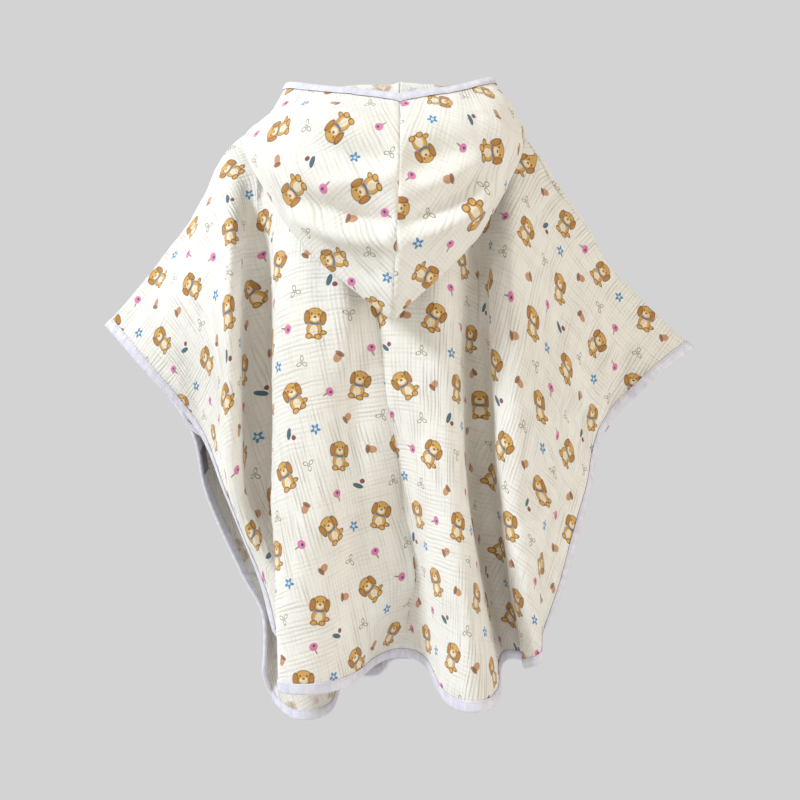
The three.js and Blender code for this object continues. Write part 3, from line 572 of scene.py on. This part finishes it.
def tossPrint(tree, flat, colour, strength):
    place, kind = cellPlace(tree, flat, toss["dot"], 0.5, 1.2, 6, 4, trinketChart)
    for name, figure in (("daisy", daisy), ("bud", bud), ("leaves", leaves), ("nut", nut), ("sprig", sprig)):
        mine = calc(tree, "COMPARE", kind, trinkets.index(name) / 8, 0.05)
        colour = figure(tree, colour, place, calc(tree, "MULTIPLY", mine, toss["ink"] * strength))
    place, kind = cellPlace(tree, flat, toss["pitch"], 0.0, 1.05, 4, 3, puppyChart)
    return puppy(tree, colour, place, toss["ink"] * strength)


# The valley colour is painted shade, mixed into the crinkle valleys; it also tints the random darker patches of the
# cloth.
gauze = {
    "cloth": (254, 254, 252), "creaseShadeAndMottle": (226, 219, 207), "inside": (249, 248, 245), "printInside": 0.28,
    "longPitch": 4.1, "crossPitch": 4.7, "creaseRun": 58, "sway": 9, "uneven": 3.4, "creaseDepth": 1.0, "weavePitch": 1.25,
}


def puffs(tree, flat, along, patch, pitch):  # rows of soft puffs with narrow valleys, nearly straight, that come and go
    sway = calc(tree, "MULTIPLY", noiseAt(tree, flat, 1 / 90, 1), gauze["sway"])
    uneven = calc(tree, "MULTIPLY", noiseAt(tree, stretched(tree, flat, patch[0] * 2.2, patch[1]), 1.0, 1, 0.6), gauze["uneven"])
    moved = calc(tree, "ADD", calc(tree, "ADD", along, sway), uneven)
    puff = calc(tree, "ABSOLUTE", calc(tree, "SINE", calc(tree, "MULTIPLY", moved, math.pi / pitch)))
    strength = remap(tree, noiseAt(tree, stretched(tree, flat, *patch), 1.0, 2.0, 0.6), 0.36, 0.62, 0.12, 1.0)
    return calc(tree, "MULTIPLY", calc(tree, "SUBTRACT", 1, puff), strength)


def gauzeMaterial(name, longShare, crossShare, wrongSide=False):
    material = bpy.data.materials.new(name)
    material.use_nodes = True
    tree = material.node_tree
    shader = tree.nodes["Principled BSDF"]
    uv = node(tree, "ShaderNodeUVMap", uv_map="flatCut").outputs["UV"]
    flat = vectorCalc(tree, "SCALE", uv)
    flat.node.inputs["Scale"].default_value = 1000
    parts = node(tree, "ShaderNodeSeparateXYZ", {0: flat}).outputs
    long = puffs(tree, flat, parts[0], (1 / 10, 1 / gauze["creaseRun"]), gauze["longPitch"])
    cross = puffs(tree, flat, parts[1], (1 / gauze["creaseRun"], 1 / 10), gauze["crossPitch"])
    where = remap(tree, noiseAt(tree, flat, 1 / 85, 1), 0.42, 0.58)
    valleys = calc(tree, "ADD",
        calc(tree, "MULTIPLY", long, remap(tree, where, 0, 1, longShare, longShare * 0.35)),
        calc(tree, "MULTIPLY", cross, remap(tree, where, 0, 1, crossShare * 0.3, crossShare)))
    pitch = math.pi * 2 / gauze["weavePitch"]
    weave = calc(tree, "MULTIPLY", calc(tree, "SINE", calc(tree, "MULTIPLY", parts[0], pitch)),
                 calc(tree, "SINE", calc(tree, "MULTIPLY", parts[1], pitch)))
    fuzz = noiseAt(tree, flat, 0.9, 3, 0.7)
    height = calc(tree, "ADD", calc(tree, "MULTIPLY", valleys, -gauze["creaseDepth"]),
                  calc(tree, "ADD", calc(tree, "MULTIPLY", weave, 0.04), calc(tree, "MULTIPLY", fuzz, 0.35)))
    bump = node(tree, "ShaderNodeBump", {"Strength": 1.0, "Distance": mm, "Height": height})
    ground = tone(*gauze["inside" if wrongSide else "cloth"])
    # Painted shade: the cloth is darkened towards the valley colour in the crinkle valleys.
    colour = blend(tree, remap(tree, valleys, 0.0, 1.0, 0.0, 0.6), ground, tone(*gauze["creaseShadeAndMottle"]))
    # Darker in random large patches, the cloth's own uneven tone.
    patchy = remap(tree, noiseAt(tree, flat, 1 / 120, 3), 0.3, 0.7)
    colour = blend(tree, calc(tree, "MULTIPLY", patchy, 0.25), colour, tone(*gauze["creaseShadeAndMottle"]), "MULTIPLY")
    colour = tossPrint(tree, flat, colour, gauze["printInside"] if wrongSide else 1.0)
    tree.links.new(colour, shader.inputs["Base Color"])
    tree.links.new(bump.outputs[0], shader.inputs["Normal"])
    shader.inputs["Roughness"].default_value = 0.92
    shader.inputs["Specular IOR Level"].default_value = 0.2
    shader.inputs["Sheen Weight"].default_value = 0.25
    shader.inputs["Sheen Roughness"].default_value = 0.6
    return material


# The shade colour is painted shade, laid into the low parts of the tape's ripple and into its stitch groove.
satin = {"tape": (243, 243, 255), "shade": (222, 222, 243), "stitchPitch": 3.1, "stitchRun": 0.72, "stitchIn": 1.6}


def satinMaterial(name):  # smooth tape with one row of stitches on each leaf
    material = bpy.data.materials.new(name)
    material.use_nodes = True
    tree = material.node_tree
    shader = tree.nodes["Principled BSDF"]
    uv = node(tree, "ShaderNodeUVMap", uv_map="flatCut").outputs["UV"]
    flat = vectorCalc(tree, "SCALE", uv)
    flat.node.inputs["Scale"].default_value = 1000
    parts = node(tree, "ShaderNodeSeparateXYZ", {0: flat}).outputs
    inLeaf = calc(tree, "ABSOLUTE", parts[1])
    fromStitch = calc(tree, "ABSOLUTE", calc(tree, "SUBTRACT", inLeaf, cloth["bindingWidth"] - satin["stitchIn"]))
    phase = calc(tree, "FRACT", calc(tree, "DIVIDE", parts[0], satin["stitchPitch"]))
    dash = calc(tree, "MULTIPLY", calc(tree, "LESS_THAN", phase, satin["stitchRun"]), remap(tree, fromStitch, 0.45, 0.15))
    groove = remap(tree, fromStitch, 1.4, 0.2)
    ripple = noiseAt(tree, stretched(tree, flat, 1 / 7, 1 / 16), 1.0, 2)
    threads = noiseAt(tree, stretched(tree, flat, 0.12, 5), 1.0, 2)
    height = calc(tree, "ADD", calc(tree, "MULTIPLY", ripple, 1.3),
                  calc(tree, "ADD", calc(tree, "MULTIPLY", threads, 0.12),
                       calc(tree, "SUBTRACT", calc(tree, "MULTIPLY", dash, 0.35), calc(tree, "MULTIPLY", groove, 0.4))))
    bump = node(tree, "ShaderNodeBump", {"Strength": 0.8, "Distance": mm, "Height": height})
    # Painted shade: the tape is darker where its ripple bump is low.
    colour = blend(tree, remap(tree, ripple, 0.35, 0.7), tone(*satin["shade"]), tone(*satin["tape"]))
    # Painted shade in the stitch groove.
    colour = blend(tree, calc(tree, "MULTIPLY", groove, 0.35), colour, tone(*satin["shade"]))
    tree.links.new(colour, shader.inputs["Base Color"])
    tree.links.new(bump.outputs[0], shader.inputs["Normal"])
    shader.inputs["Roughness"].default_value = 0.42
    shader.inputs["Sheen Weight"].default_value = 0.3
    shader.inputs["Anisotropic"].default_value = 0.4
    return material


def tapeMaterial(name, colour, dark):  # woven label tape
    material = bpy.data.materials.new(name)
    material.use_nodes = True
    tree = material.node_tree
    shader = tree.nodes["Principled BSDF"]
    place = node(tree, "ShaderNodeTexCoord").outputs["Object"]
    rib = node(tree, "ShaderNodeTexWave", {"Vector": place, "Scale": 900, "Distortion": 0.4}, bands_direction="Z")
    grain = noiseAt(tree, place, 900, 3)
    height = calc(tree, "ADD", calc(tree, "MULTIPLY", rib.outputs["Fac"], 0.1), calc(tree, "MULTIPLY", grain, 0.1))
    bump = node(tree, "ShaderNodeBump", {"Strength": 0.6, "Distance": mm, "Height": height})
    tree.links.new(blend(tree, grain, tone(*dark), tone(*colour)), shader.inputs["Base Color"])
    tree.links.new(bump.outputs[0], shader.inputs["Normal"])
    shader.inputs["Roughness"].default_value = 0.6
    return material


panelGauze = [gauzeMaterial("panelGauze", 1.0, 0.7), gauzeMaterial("panelGauzeWrongSide", 1.0, 0.7, wrongSide=True)]
hoodGauze = [gauzeMaterial("hoodGauze", 0.45, 1.0), gauzeMaterial("hoodGauzeWrongSide", 0.45, 1.0, wrongSide=True)]
satinTape = satinMaterial("satinTape")
print("materials made")


# The panels
backPanel = {
    "fine": {"perSpan": 6, "widest": 4.2, "rows": 176}, "seed": 3.0,
    "creases": [
        {"start": (-161, -62), "end": (-150, -124), "bow": 0, "width": 9, "height": -9.5},
        {"start": (-206, -120), "end": (-222, -300), "bow": -8, "width": 17, "height": -4.3},
        {"start": (-184, -110), "end": (-190, -330), "bow": -5, "width": 13, "height": 3.5},
        {"start": (-250, -215), "end": (-226, -318), "bow": -5, "width": 13, "height": -3.5},
        {"start": (-152, -140), "end": (-148, -400), "bow": 2, "width": 11, "height": 8},
        {"start": (-66, -176), "end": (-58, -292), "bow": 4, "width": 13, "height": -11},
        {"start": (-106, -228), "end": (-96, -430), "bow": 5, "width": 15, "height": 3.8},
        {"start": (-92, -450), "end": (-112, -590), "bow": -4, "width": 14, "height": -3.5},
        {"start": (-46, -250), "end": (-50, -566), "bow": 3, "width": 14, "height": 6},
        {"start": (-8, -196), "end": (-5, -400), "bow": 2, "width": 18, "height": -12},
        {"start": (-5, -400), "end": (20, -574), "bow": -3, "width": 18, "height": -12},
        {"start": (61, -240), "end": (84, -560), "bow": 0, "width": 9, "height": 4.5},
        {"start": (28, -236), "end": (46, -430), "bow": 4, "width": 15, "height": 4.1},
        {"start": (62, -420), "end": (58, -596), "bow": -3, "width": 14, "height": 3.2},
        {"start": (76, -170), "end": (79, -244), "bow": 1, "width": 7, "height": -6},
        {"start": (83, -262), "end": (112, -574), "bow": -5, "width": 9, "height": 7},
        {"start": (-38, -200), "end": (-32, -420), "bow": 3, "width": 15, "height": -6},
        {"start": (104, -150), "end": (110, -330), "bow": 3, "width": 9, "height": 3.2},
        {"start": (206, -196), "end": (152, -392), "bow": -8, "width": 14, "height": -7},
        {"start": (214, -212), "end": (217, -334), "bow": 4, "width": 8, "height": -4.6},
        {"start": (188, -150), "end": (170, -330), "bow": -8, "width": 15, "height": 4.9},
        {"start": (210, -336), "end": (158, -272), "bow": 3, "width": 7, "height": -3.5},
        {"start": (212, -342), "end": (148, -318), "bow": 3, "width": 8, "height": 3.8},
        {"start": (170, -356), "end": (126, -446), "bow": -3, "width": 10, "height": 5.9},
        {"start": (163, -398), "end": (142, -452), "bow": 0, "width": 8, "height": -4.6},
        {"start": (250, -250), "end": (226, -322), "bow": 4, "width": 12, "height": 3.5},
        {"start": (176, -420), "end": (146, -540), "bow": -4, "width": 11, "height": 3.8},
    ],
}
frontPanel = {
    "fine": {"perSpan": 6, "widest": 4.6, "rows": 160}, "seed": 31.0,
    "creases": [
        {"start": (-70, -84), "end": (-88, -240), "bow": 5, "width": 15, "height": -5.4},
        {"start": (-92, -250), "end": (-84, -430), "bow": -5, "width": 14, "height": 4.1},
        {"start": (-40, -120), "end": (-22, -300), "bow": 4, "width": 14, "height": -4.9},
        {"start": (-16, -320), "end": (-34, -520), "bow": -5, "width": 14, "height": 3.8},
        {"start": (20, -130), "end": (30, -330), "bow": -5, "width": 14, "height": -5.1},
        {"start": (50, -340), "end": (36, -540), "bow": 4, "width": 13, "height": -4.1},
        {"start": (88, -100), "end": (96, -290), "bow": -5, "width": 14, "height": 4.6},
        {"start": (78, -330), "end": (92, -520), "bow": 5, "width": 14, "height": 3.5},
        {"start": (-200, -120), "end": (-216, -300), "bow": -7, "width": 15, "height": -4.6},
        {"start": (-228, -330), "end": (-168, -286), "bow": 4, "width": 9, "height": 4.1},
        {"start": (-210, -340), "end": (-150, -400), "bow": -4, "width": 10, "height": -4.9},
        {"start": (204, -190), "end": (164, -380), "bow": 8, "width": 15, "height": -5.9},
        {"start": (216, -332), "end": (160, -290), "bow": -4, "width": 8, "height": 3.8},
        {"start": (190, -340), "end": (150, -440), "bow": 4, "width": 10, "height": 4.6},
        {"start": (-60, -560), "end": (-84, -640), "bow": 3, "width": 13, "height": 3.5},
    ],
}


def edgeFade(points, reach=16):  # 0 at the free edges of a panel, 1 further in
    across = runningLengths(points, 0)
    down = runningLengths(points, 1)
    nearest = np.minimum(np.minimum(across, across[-1][None, :] - across), down[:, -1][:, None] - down)
    return 0.25 + 0.75 * smoothStep(nearest, 4, reach)


def makePanel(name, folds, facing, panel):
    points = panelPoints(folds, facing, panel["fine"])
    flat = flatCut(points, points.shape[0] // 2)
    normals = outwardNormals(points, -facing)
    heights = creaseHeights(points, panel["creases"]) + gauzeRipple(flat, panel["seed"])
    heights *= edgeFade(points) * smoothStep(flat[:, :, 1], 0, 14)
    points = points + normals * heights[:, :, None]
    piece = sheetFrom(name, points, flat, facing > 0)
    giveThickness(piece, cloth["shell"], 0, 1)
    for look in panelGauze:
        piece.data.materials.append(look)
    return piece, points, outwardNormals(points, -facing)


backCloth, backPoints, backNormals = makePanel("backCloth", backFolds, -1, backPanel)
frontCloth, frontPoints, frontNormals = makePanel("frontCloth", frontFolds, 1, frontPanel)
print("panels hung", len(backCloth.data.polygons), len(frontCloth.data.polygons))


# The hood
hoodLines = [
    {"name": "neck seam", "leftReach": 1, "leftDrop": 0, "seamDrift": 0,
     "nape": (0, -58, 0), "quarter": (51, -41, 0), "shoulder": (72, 0, 0), "collar": (52, 45, -23), "throat": (4, 62, -46)},
    {"name": "roll", "leftReach": 1.03, "leftDrop": 7, "seamDrift": 0,
     "nape": (0, -66, 14), "quarter": (60, -50, 14), "shoulder": (86, -6, 13), "collar": (58, 51, -12), "throat": (5, 64, -43)},
    {"name": "under layer", "leftReach": 1.2, "leftDrop": 6, "seamDrift": -3,
     "nape": (0, -112, -100), "quarter": (78, -96, -62), "shoulder": (108, -24, 4), "collar": (66, 54, -3), "throat": (6, 65, -40)},
    {"name": "lowest line", "leftReach": 1.26, "leftDrop": 4, "seamDrift": -7,
     "nape": (0, -144, -240), "quarter": (84, -122, -148), "shoulder": (130, -44, -28), "collar": (73, 53, 3), "throat": (6, 66, -38)},
    {"name": "pouch", "leftReach": 1.26, "leftDrop": 8, "seamDrift": -3,
     "nape": (0, -176, -156), "quarter": (88, -152, -98), "shoulder": (128, -74, -34), "collar": (78, 48, 9), "throat": (6, 66, -36)},
    {"name": "crown", "leftReach": 1.2, "leftDrop": 14, "seamDrift": 0,
     "nape": (0, -170, -66), "quarter": (72, -150, -40), "shoulder": (114, -84, -10), "collar": (79, 40, 14), "throat": (6, 66, -33)},
    {"name": "face edge", "leftReach": 1.24, "leftDrop": 5, "seamDrift": 0,
     "nape": (0, -130, -12), "quarter": (55, -110, 0), "shoulder": (96, -60, 20), "collar": (74, 33, 18), "throat": (6, 65, -30)},
]
hood = {"around": 100, "along": 104, "lift": 1.6, "seed": {-1: 50.0, 1: 71.0}, "creases": {
    -1: [
        {"start": (-100, -58), "end": (-6, -82), "bow": -5, "width": 14, "height": -11},
        {"start": (-74, -108), "end": (-5, -103), "bow": 2, "width": 9, "height": 7.5},
        {"start": (-98, -118), "end": (-8, -143), "bow": -6, "width": 11, "height": -15},
        {"start": (-102, -132), "end": (-3, -163), "bow": -8, "width": 8, "height": 12},
        {"start": (-84, -170), "end": (-12, -196), "bow": -5, "width": 11, "height": -5.1},
        {"start": (-112, -30), "end": (-30, -40), "bow": 3, "width": 11, "height": 4.8},
    ],
    1: [
        {"start": (8, -88), "end": (74, -70), "bow": 4, "width": 17, "height": -12},
        {"start": (3, -163), "end": (98, -104), "bow": -8, "width": 8, "height": 11},
        {"start": (5, -140), "end": (90, -88), "bow": -7, "width": 10, "height": -12},
        {"start": (80, -36), "end": (116, -66), "bow": 3, "width": 10, "height": 5.8},
        {"start": (14, -196), "end": (72, -150), "bow": -5, "width": 11, "height": -5.1},
        {"start": (6, -112), "end": (60, -94), "bow": -3, "width": 8, "height": 4.8},
    ],
}}
hoodPlaces = ["nape", "quarter", "shoulder", "collar", "throat"]


def curveThrough(points, shares):  # a centripetal curve, as the solids use
    points = np.array(points, float)
    last = len(points) - 1
    made = []
    for share in shares:
        p = share * last
        i = min(int(p), last - 1)
        f = p - i
        p1, p2 = points[i], points[i + 1]
        p0 = points[i - 1] if i > 0 else 2 * p1 - p2
        p3 = points[i + 2] if i + 2 <= last else 2 * p2 - p1
        d0, d1, d2 = (max(np.linalg.norm(b - a) ** 0.5, 1e-4) for a, b in ((p0, p1), (p1, p2), (p2, p3)))
        t1 = ((p1 - p0) / d0 - (p2 - p0) / (d0 + d1) + (p2 - p1) / d1) * d1
        t2 = ((p2 - p1) / d1 - (p3 - p1) / (d1 + d2) + (p3 - p2) / d2) * d1
        made.append(p1 + t1 * f + (-3 * p1 + 3 * p2 - 2 * t1 - t2) * f * f + (2 * p1 - 2 * p2 + t1 + t2) * f**3)
    return np.array(made)


def hoodSection(place, mirror, shares):
    knots = []
    for row in hoodLines:
        at = [float(lineThrough(range(5), [row[name][axis] for name in hoodPlaces])(place)) for axis in range(3)]
        overShoulder = 1 - smoothStep(abs(place - 2), 0, 1.3)
        behind = 1 - smoothStep(place, 1.8, 3.2)
        reach = mix(1, row["leftReach"], behind) if mirror < 0 else 1
        drop = row["leftDrop"] * overShoulder if mirror < 0 else 0
        drift = row["seamDrift"] * (1 - smoothStep(place, 0, 1.6))
        knots.append((at[0] * reach * mirror + drift, at[1], at[2] - drop + hood["lift"]))
    return curveThrough(knots, shares)


def makeHoodHalf(name, mirror):
    rows = np.linspace(0, 1, hood["along"] + 1)
    places = np.linspace(0, 4, hood["around"] + 1)
    points = np.array([hoodSection(place, mirror, rows) for place in places])
    points[0, :, 0] += mirror * 0.2
    flat = flatCut(points, 0)
    normals = outwardNormals(points, mirror)
    heights = creaseHeights(points, hood["creases"][mirror]) * smoothStep(rows, 0.5, 0.6)  # the outer layer's creases
    turned = np.stack([flat[:, :, 1], flat[:, :, 0]], axis=2)  # the hood's grain runs round the head
    heights += gauzeRipple(turned, hood["seed"][mirror])
    fromSeam = runningLengths(points, 0)
    fromFace = runningLengths(points, 1)
    fromFace = fromFace[:, -1][:, None] - fromFace
    heights *= smoothStep(fromSeam, 0, 7) * (0.3 + 0.7 * smoothStep(fromFace, 4, 16)) * smoothStep(flat[:, :, 1], 0, 12)
    heights -= 1.6 * np.exp(-((fromSeam / 3.2) ** 2)) * smoothStep(fromFace, 0, 12)
    points = points + normals * heights[:, :, None]
    piece = sheetFrom(name, points, flat + (400 + 90 * mirror, 0), mirror > 0)
    giveThickness(piece, cloth["shell"], 0, 1)
    for look in hoodGauze:
        piece.data.materials.append(look)
    return piece, points, outwardNormals(points, mirror)


hoodLeftCloth, hoodLeftPoints, hoodLeftNormals = makeHoodHalf("hoodLeftCloth", -1)
hoodRightCloth, hoodRightPoints, hoodRightNormals = makeHoodHalf("hoodRightCloth", 1)
print("hood hung")


# Satin tape folded over the edges. Each row of the profile is how far in from the edge and how far off the cloth.
tapeProfile = [(10.1, 1.15), (9.8, 1.7), (9.0, 1.95), (7, 2.05), (4, 2.1), (1.4, 2.05), (0, 1.8), (-0.8, 1.1), (-1.05, 0),
               (-0.8, -1.1), (0, -1.8), (1.4, -2.05), (4, -2.1), (7, -2.05), (9.0, -1.95), (9.8, -1.7), (10.1, -1.15)]


def makeBinding(name, edges, inners, normals, ease=0.0):
    count = len(edges)
    run = runningLengths(edges)
    points = np.zeros((count, len(tapeProfile), 3))
    flat = np.zeros((count, len(tapeProfile), 2))
    for k in range(count):
        inward = inners[k] - edges[k]
        width = min(np.linalg.norm(inward), cloth["bindingWidth"]) / cloth["bindingWidth"]
        inward = inward / max(np.linalg.norm(inward), 1e-6)
        wobble = 0.35 * noise.noise(Vector((run[k] / 9, 0, 5))) + 0.25 * noise.noise(Vector((run[k] / 3.3, 2, 5)))
        for c, (inside, off) in enumerate(tapeProfile):
            depth = inside * width if inside > 0 else inside
            lift = off + math.copysign(ease + (wobble if inside > 8 else 0.4 * wobble), off) if off else 0
            points[k, c] = edges[k] + inward * depth + normals[k] * lift
            flat[k, c] = (run[k], inside if off >= 0 else -inside)
    piece = sheetFrom(name, points, flat, False)
    giveThickness(piece, cloth["bindingShell"], -1, 0)
    piece.data.materials.append(satinTape)
    return piece


def evenly(spots, spacing=2.6):  # picks indices along a run of points at an even spacing
    run = runningLengths(spots)
    wanted = np.arange(0, run[-1], spacing)
    picked = np.unique(np.searchsorted(run, wanted))
    return [*picked[:-1], len(spots) - 1]


def panelEdgeStrip(name, points, normals):
    width = cloth["bindingWidth"]
    last, low = points.shape[0] - 1, points.shape[1] - 1

    def inside(line):
        run = runningLengths(line)
        return np.array([np.interp(width, run, line[:, axis]) for axis in range(3)])

    edges, inners, facing = [], [], []

    def add(i, j, inner):
        edges.append(points[i, j])
        inners.append(inner)
        facing.append(normals[i, j])

    leftInner = np.array([inside(points[:, j]) for j in range(low + 1)])
    rightInner = np.array([inside(points[::-1, j]) for j in range(low + 1)])
    hemInner = np.array([inside(points[i, ::-1]) for i in range(last + 1)])
    cornerRow = int(np.searchsorted(-(runningLengths(points[0])[-1] - runningLengths(points[0])), -width))
    leftColumn = int(np.searchsorted(runningLengths(points[:, low]), width))
    fromRight = runningLengths(points[:, low])[-1] - runningLengths(points[:, low])
    rightColumn = int(np.searchsorted(-fromRight, -width)) - 1
    leftMitre = 0.5 * (leftInner[cornerRow] + hemInner[leftColumn])
    rightMitre = 0.5 * (rightInner[cornerRow] + hemInner[rightColumn])
    for j in evenly(points[0, : cornerRow + 1]):
        add(0, j, leftInner[j])
    for j in range(cornerRow + 1, low + 1):
        add(0, j, leftMitre)
    for i in range(1, leftColumn):
        add(i, low, leftMitre)
    for i in evenly(points[leftColumn : rightColumn + 1, low]):
        add(leftColumn + i, low, hemInner[leftColumn + i])
    for i in range(rightColumn + 1, last + 1):
        add(i, low, rightMitre)
    for j in range(low - 1, cornerRow, -1):
        add(last, j, rightMitre)
    for j in reversed(evenly(points[last, : cornerRow + 1])):
        add(last, j, rightInner[j])
    return makeBinding(name, np.array(edges), np.array(inners), np.array(facing))


backTape = panelEdgeStrip("backTape", backPoints, backNormals)
frontTape = panelEdgeStrip("frontTape", frontPoints, frontNormals)
facePoints = np.concatenate([hoodLeftPoints[:0:-1], hoodRightPoints])
faceNormals = np.concatenate([hoodLeftNormals[:0:-1], hoodRightNormals])
faceInner = []
for line in facePoints:
    run = runningLengths(line[::-1])
    reach = min(cloth["bindingWidth"], 0.45 * run[-1])
    faceInner.append([np.interp(reach, run, line[::-1, axis]) for axis in range(3)])
faceTape = makeBinding("faceTape", facePoints[:, -1], np.array(faceInner), faceNormals[:, -1], 0.5)
print("edges bound")


# What shows of each piece, and the cut it was made from
for piece, replaced, slot in (
    (backCloth, "back_panel", "gauze"), (frontCloth, "front_panel", "gauze"),
    (hoodLeftCloth, "hood_left", "gauze"), (hoodRightCloth, "hood_right", "gauze"),
    (backTape, "back_binding", "satin"), (frontTape, "front_binding", "satin"), (faceTape, "hood_binding", "satin"),
):
    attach(piece, "root")
    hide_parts(replaced)

looks = {
    "side_label": tapeMaterial("greyTape", (150, 148, 156), (112, 110, 118)),
    "size_label": tapeMaterial("whiteTape", (246, 246, 246), (224, 224, 226)),
    "tack_left": tapeMaterial("tackThread", (238, 234, 244), (206, 200, 214)),
}
looks["tack_right"] = looks["tack_left"]
for name, look in looks.items():
    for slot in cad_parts[name].material_slots:
        slot.material = look
print("labels and tacks finished")


# Floor, light and camera
studio = {
    "eye": (0, -1500, -316.8), "viewWidth": 880, "floor": -1100, "floorRadius": 1150,
    "background": (211, 211, 211), "ambient": (0.56, 0.522, 0.452),
    "key": {"place": (-2250, -1400, 1500), "size": 600, "power": 71, "colour": (0.87, 0.94, 1.0)},
    "fill": {"place": (1900, -1200, 0), "size": 1500, "power": 15, "colour": (1.0, 0.95, 0.87)},
    "front": {"place": (-2000, 1900, 900), "size": 900, "power": 46, "colour": (0.95, 0.97, 1.0)},
}
floorMesh = bmesh.new()
bmesh.ops.create_circle(floorMesh, cap_ends=True, segments=96, radius=studio["floorRadius"] * mm)
bmesh.ops.translate(floorMesh, verts=floorMesh.verts, vec=(0, 0, studio["floor"] * mm))
floorData = bpy.data.meshes.new("studioFloor")
floorMesh.to_mesh(floorData)
floorMesh.free()
studioFloor = bpy.data.objects.new("studioFloor", floorData)
scene.collection.objects.link(studioFloor)
floorLook = bpy.data.materials.new("paleFloor")
floorLook.use_nodes = True
floorTree = floorLook.node_tree
floorPlace = node(floorTree, "ShaderNodeTexCoord").outputs["Object"]
floorGrain = noiseAt(floorTree, floorPlace, 40, 4)
floorTree.links.new(blend(floorTree, floorGrain, tone(206, 205, 203), tone(214, 213, 211)),
                    floorTree.nodes["Principled BSDF"].inputs["Base Color"])
floorTree.nodes["Principled BSDF"].inputs["Roughness"].default_value = 0.9
floorData.materials.append(floorLook)

world = bpy.data.worlds.new("paleStudio")
world.use_nodes = True
sky = world.node_tree
seen = node(sky, "ShaderNodeLightPath").outputs["Is Camera Ray"]
skyColour = blend(sky, seen, (*studio["ambient"], 1), tone(*studio["background"]))
sky.links.new(skyColour, sky.nodes["Background"].inputs["Color"])
scene.world = world
scene.view_settings.view_transform = "Standard"


def aim(thing, place, target):
    thing.location = Vector(place) * mm
    thing.rotation_euler = (Vector(target) - Vector(place)).to_track_quat("-Z", "Y").to_euler()


for name in ("key", "fill", "front"):
    lamp = bpy.data.lights.new(name + "Light", "AREA")
    lamp.size = studio[name]["size"] * mm
    lamp.energy = studio[name]["power"]
    lamp.color = studio[name]["colour"]
    lampObject = bpy.data.objects.new(name + "Light", lamp)
    scene.collection.objects.link(lampObject)
    aim(lampObject, studio[name]["place"], (0, 0, -300))

camera = bpy.data.cameras.new("photoCamera")
camera.sensor_fit = "HORIZONTAL"
camera.angle = 2 * math.atan(studio["viewWidth"] / 2 / 1500)
cameraObject = bpy.data.objects.new("photoCamera", camera)
scene.collection.objects.link(cameraObject)
aim(cameraObject, studio["eye"], (0, 0, studio["eye"][2]))
scene.camera = cameraObject
print("studio lit")
